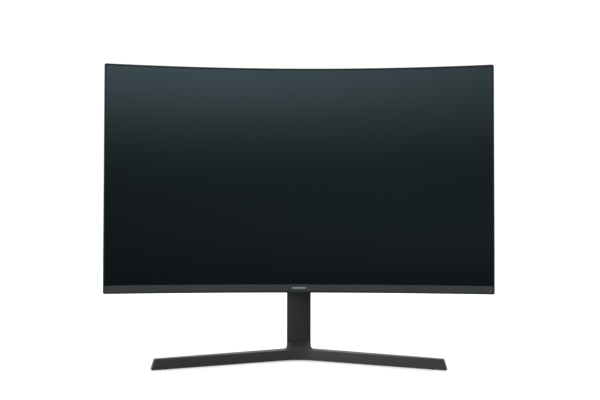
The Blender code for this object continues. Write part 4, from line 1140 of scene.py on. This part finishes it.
def base(look):
    """Legs and hub in one casting, with a curved fillet on each side of the hub."""
    body = split_caps(legs())
    hub = split_caps(slab("hub", hub_side(), -COLUMN_HALF, COLUMN_HALF, "X", 0.8 * MM))
    tail = arc((0.0, TAIL_END - COLUMN_HALF), COLUMN_HALF, 0, 180, 40)
    plan = [(-COLUMN_HALF - MM, -20 * MM), (COLUMN_HALF + MM, -20 * MM)]
    plan += [(COLUMN_HALF + MM, tail[0][1])] + tail + [(-COLUMN_HALF - MM, tail[-1][1])]
    combine(hub, slab("plan", plan, -10 * MM, 50 * MM), "INTERSECT")
    add(body, hub)
    radius, sunk = 5 * MM, LEG_TOP - 2 * MM
    slope = [(y, z - 0.1 * MM) for y, z in hub_side()]
    for side in (-1, 1):
        bell = [(COLUMN_HALF - 2 * MM, sunk), (COLUMN_HALF + radius, sunk)]
        bell += arc((COLUMN_HALF + radius, LEG_TOP + radius), radius, 270, 180, 12)
        bell += [(COLUMN_HALF - 2 * MM, LEG_TOP + radius)]
        fillet = slab("fillet", [(side * x, z) for x, z in bell], -2 * MM, 13 * MM, "Y")
        combine(fillet, slab("slope", slope, -40 * MM, 40 * MM, "X"), "INTERSECT")
        add(body, fillet)
    pocket = box(
        "pocket",
        (-CORE_HALF - GAP, CORE_FRONT - GAP, 8 * MM),
        (CORE_HALF + GAP, CORE_BACK + GAP, HUB_TOP + 5 * MM),
    )
    tools = []
    for number in (1, 2):
        low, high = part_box(f"base_screw_{number}")
        steps = [(6.1, 0.0), (6.1, 4.6), (3.3, 4.6), (3.3, 9.0)]
        centre = plan_middle(low, high)
        tools.append(turned("drill", centre, "Z", [(r * MM, z * MM) for r, z in steps], 40))
    for number in range(1, 6):
        low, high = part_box(f"foot_pad_{number}")
        centre = plan_middle(low, high)
        tools.append(rod("seat", centre, (high.y - low.y) / 2 + GAP, 0.0, high.z + GAP, sides=40))
    settle(cut(body, pocket, gather("tools", tools)), look["base_paint"], "base_casting")


def feet(look):
    """Rubber pads, each with a rounded foot and a shallow hollow, and the two base screws."""
    for number in range(1, 6):
        low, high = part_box(f"foot_pad_{number}")
        centre = plan_middle(low, high)
        r = (high.y - low.y) / 2
        profile = [
            (0.35 * r, 0.25 * MM),
            (0.45 * r, 0.0),
            (0.88 * r, 0.0),
            (0.97 * r, 0.12 * MM),
            (r, 0.5 * MM),
            (r, high.z),
        ]
        pad = turned(f"foot_pad_{number}_rubber", centre, "Z", profile)
        settle(pad, look["rubber"], f"foot_pad_{number}")
    for number in (1, 2):
        low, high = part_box(f"base_screw_{number}")
        centre = plan_middle(low, high)
        steps = [(4.8, 1.3), (5.4, 1.5), (5.7, 2.0), (5.7, 4.3), (3.0, 4.3), (3.0, 26.0)]
        body = turned(f"base_screw_{number}_hex", centre, "Z", [(a * MM, z * MM) for a, z in steps])
        socket = rod("socket", centre, 2.9 * MM, 0.0, 3.6 * MM, sides=6)
        settle(cut(body, socket), look["zinc_steel"], f"base_screw_{number}")


# ----------------------------------------------------------- inner CAD nodes


def dress_inner(look):
    """Materials for the CAD nodes that stay as they are, and eased copies of the hinge pieces."""
    for node in (
        "tilt_bracket",
        "hinge_shaft",
        "friction_washer_left",
        "friction_washer_right",
        "spring_washer",
        "hinge_nut",
        "hinge_block",
        "connector_plate",
        "neck_core",
    ):
        eased_copy(node, look[SLOTS[node]], 0.15 * MM)
    for node, piece in frame["nodes"].items():
        if not piece.hide_render:
            piece.data.materials.clear()
            piece.data.materials.append(look[SLOTS[node]])


# -------------------------------------------------------------------- stage


def floor():
    """A pale table top, which reflections don't show."""
    ground = bpy.data.materials.new("pale_floor")
    ground.use_nodes = True
    shader = ground.node_tree.nodes["Principled BSDF"]
    shader.inputs["Base Color"].default_value = (0.97, 0.97, 0.97, 1)
    shader.inputs["Roughness"].default_value = 0.9
    shader.inputs["Specular IOR Level"].default_value = 0.0
    sheet = mesh_piece(
        "floor", [(-8, -8, 0), (8, -8, 0), (8, 8, 0), (-8, 8, 0)], [(0, 1, 2, 3)]
    )
    sheet.data.materials.append(ground)
    sheet.visible_glossy = False


def area_light(name, place, target, size, power):
    """A soft box aimed at the target. size is (width, height) in metres, power is in watts."""
    light = bpy.data.lights.new(name, "AREA")
    light.shape = "RECTANGLE"
    light.size, light.size_y = size
    light.energy = power
    made = linked(name, light)
    made.location = place
    aim = Vector(target) - Vector(place)
    made.rotation_euler = aim.to_track_quat("-Z", "Y").to_euler()


def sky():
    """White all round, but reflections find a dim studio on the camera's side."""
    world = bpy.data.worlds.new("studio")
    world.use_nodes = True
    bpy.context.scene.world = world
    nodes, links = world.node_tree.nodes, world.node_tree.links
    plain = nodes["Background"]
    plain.inputs["Color"].default_value = (1, 1, 1, 1)
    plain.inputs["Strength"].default_value = 1.04
    split = nodes.new("ShaderNodeSeparateXYZ")
    links.new(nodes.new("ShaderNodeTexCoord").outputs["Generated"], split.inputs["Vector"])
    depth = nodes.new("ShaderNodeMapRange")
    depth.inputs["From Min"].default_value = -0.2
    depth.inputs["From Max"].default_value = 0.4
    depth.inputs["To Min"].default_value = 0.04
    depth.inputs["To Max"].default_value = 0.8
    links.new(split.outputs["Y"], depth.inputs["Value"])
    seen = nodes.new("ShaderNodeBackground")
    seen.inputs["Color"].default_value = (0.95, 1.0, 1.0, 1)
    links.new(depth.outputs["Result"], seen.inputs["Strength"])
    rays = nodes.new("ShaderNodeLightPath")
    mix = nodes.new("ShaderNodeMixShader")
    links.new(rays.outputs["Is Glossy Ray"], mix.inputs["Fac"])
    links.new(plain.outputs["Background"], mix.inputs[1])
    links.new(seen.outputs["Background"], mix.inputs[2])
    links.new(mix.outputs["Shader"], nodes["World Output"].inputs["Surface"])


def lights():
    """Soft boxes behind the camera for the screen's sheen, and wide ones for the rest."""
    area_light("upper", (0.15, -4.0, 1.52), (0, 0, 0.3), (0.5, 0.7), 6.3)
    area_light("upper_left", (-0.55, -4.0, 1.5), (0, 0, 0.3), (0.7, 0.6), 1.0)
    area_light("low", (-0.12, -4.0, 0.25), (0, 0, 0.3), (0.35, 0.45), 0.6)
    area_light("side_left", (-1.9, -1.75, 0.4), (0, 0, 0.2), (1.0, 0.6), 16)
    area_light("side_right", (2.2, -1.2, 0.9), (0, 0, 0.2), (0.8, 1.0), 4)
    area_light("over", (0.0, 0.2, 2.6), (0, 0, 0), (3.0, 3.0), 32)
    area_light("back_left", (-1.8, 2.0, 1.3), (0, 0, 0.25), (1.2, 1.0), 14)
    area_light("back_right", (2.0, 1.8, 1.0), (0, 0, 0.25), (1.0, 1.0), 6)


def camera():
    data = bpy.data.cameras.new("camera")
    data.sensor_width = 36.0
    data.lens = 41.315
    data.shift_x, data.shift_y = 0.001, 0.0333
    made = linked("camera", data)
    made.location = (-7.1 * MM, -1131.0 * MM, 205.8 * MM)
    made.rotation_euler = (math.radians(91.189), math.radians(-0.099), math.radians(-0.389))
    bpy.context.scene.camera = made


# --------------------------------------------------------------------- main

look = finishes()
rim(look)
screen(look)
chin(look)
power_light(look)
rear_cover(look)
screws(look)
sockets(look)
stick_cap(look)
hinge_cover(look)
column_covers(look)
cable_clip(look)
base(look)
feet(look)
dress_inner(look)

floor()
sky()
lights()
camera()
bpy.context.scene.view_settings.view_transform = "Standard"
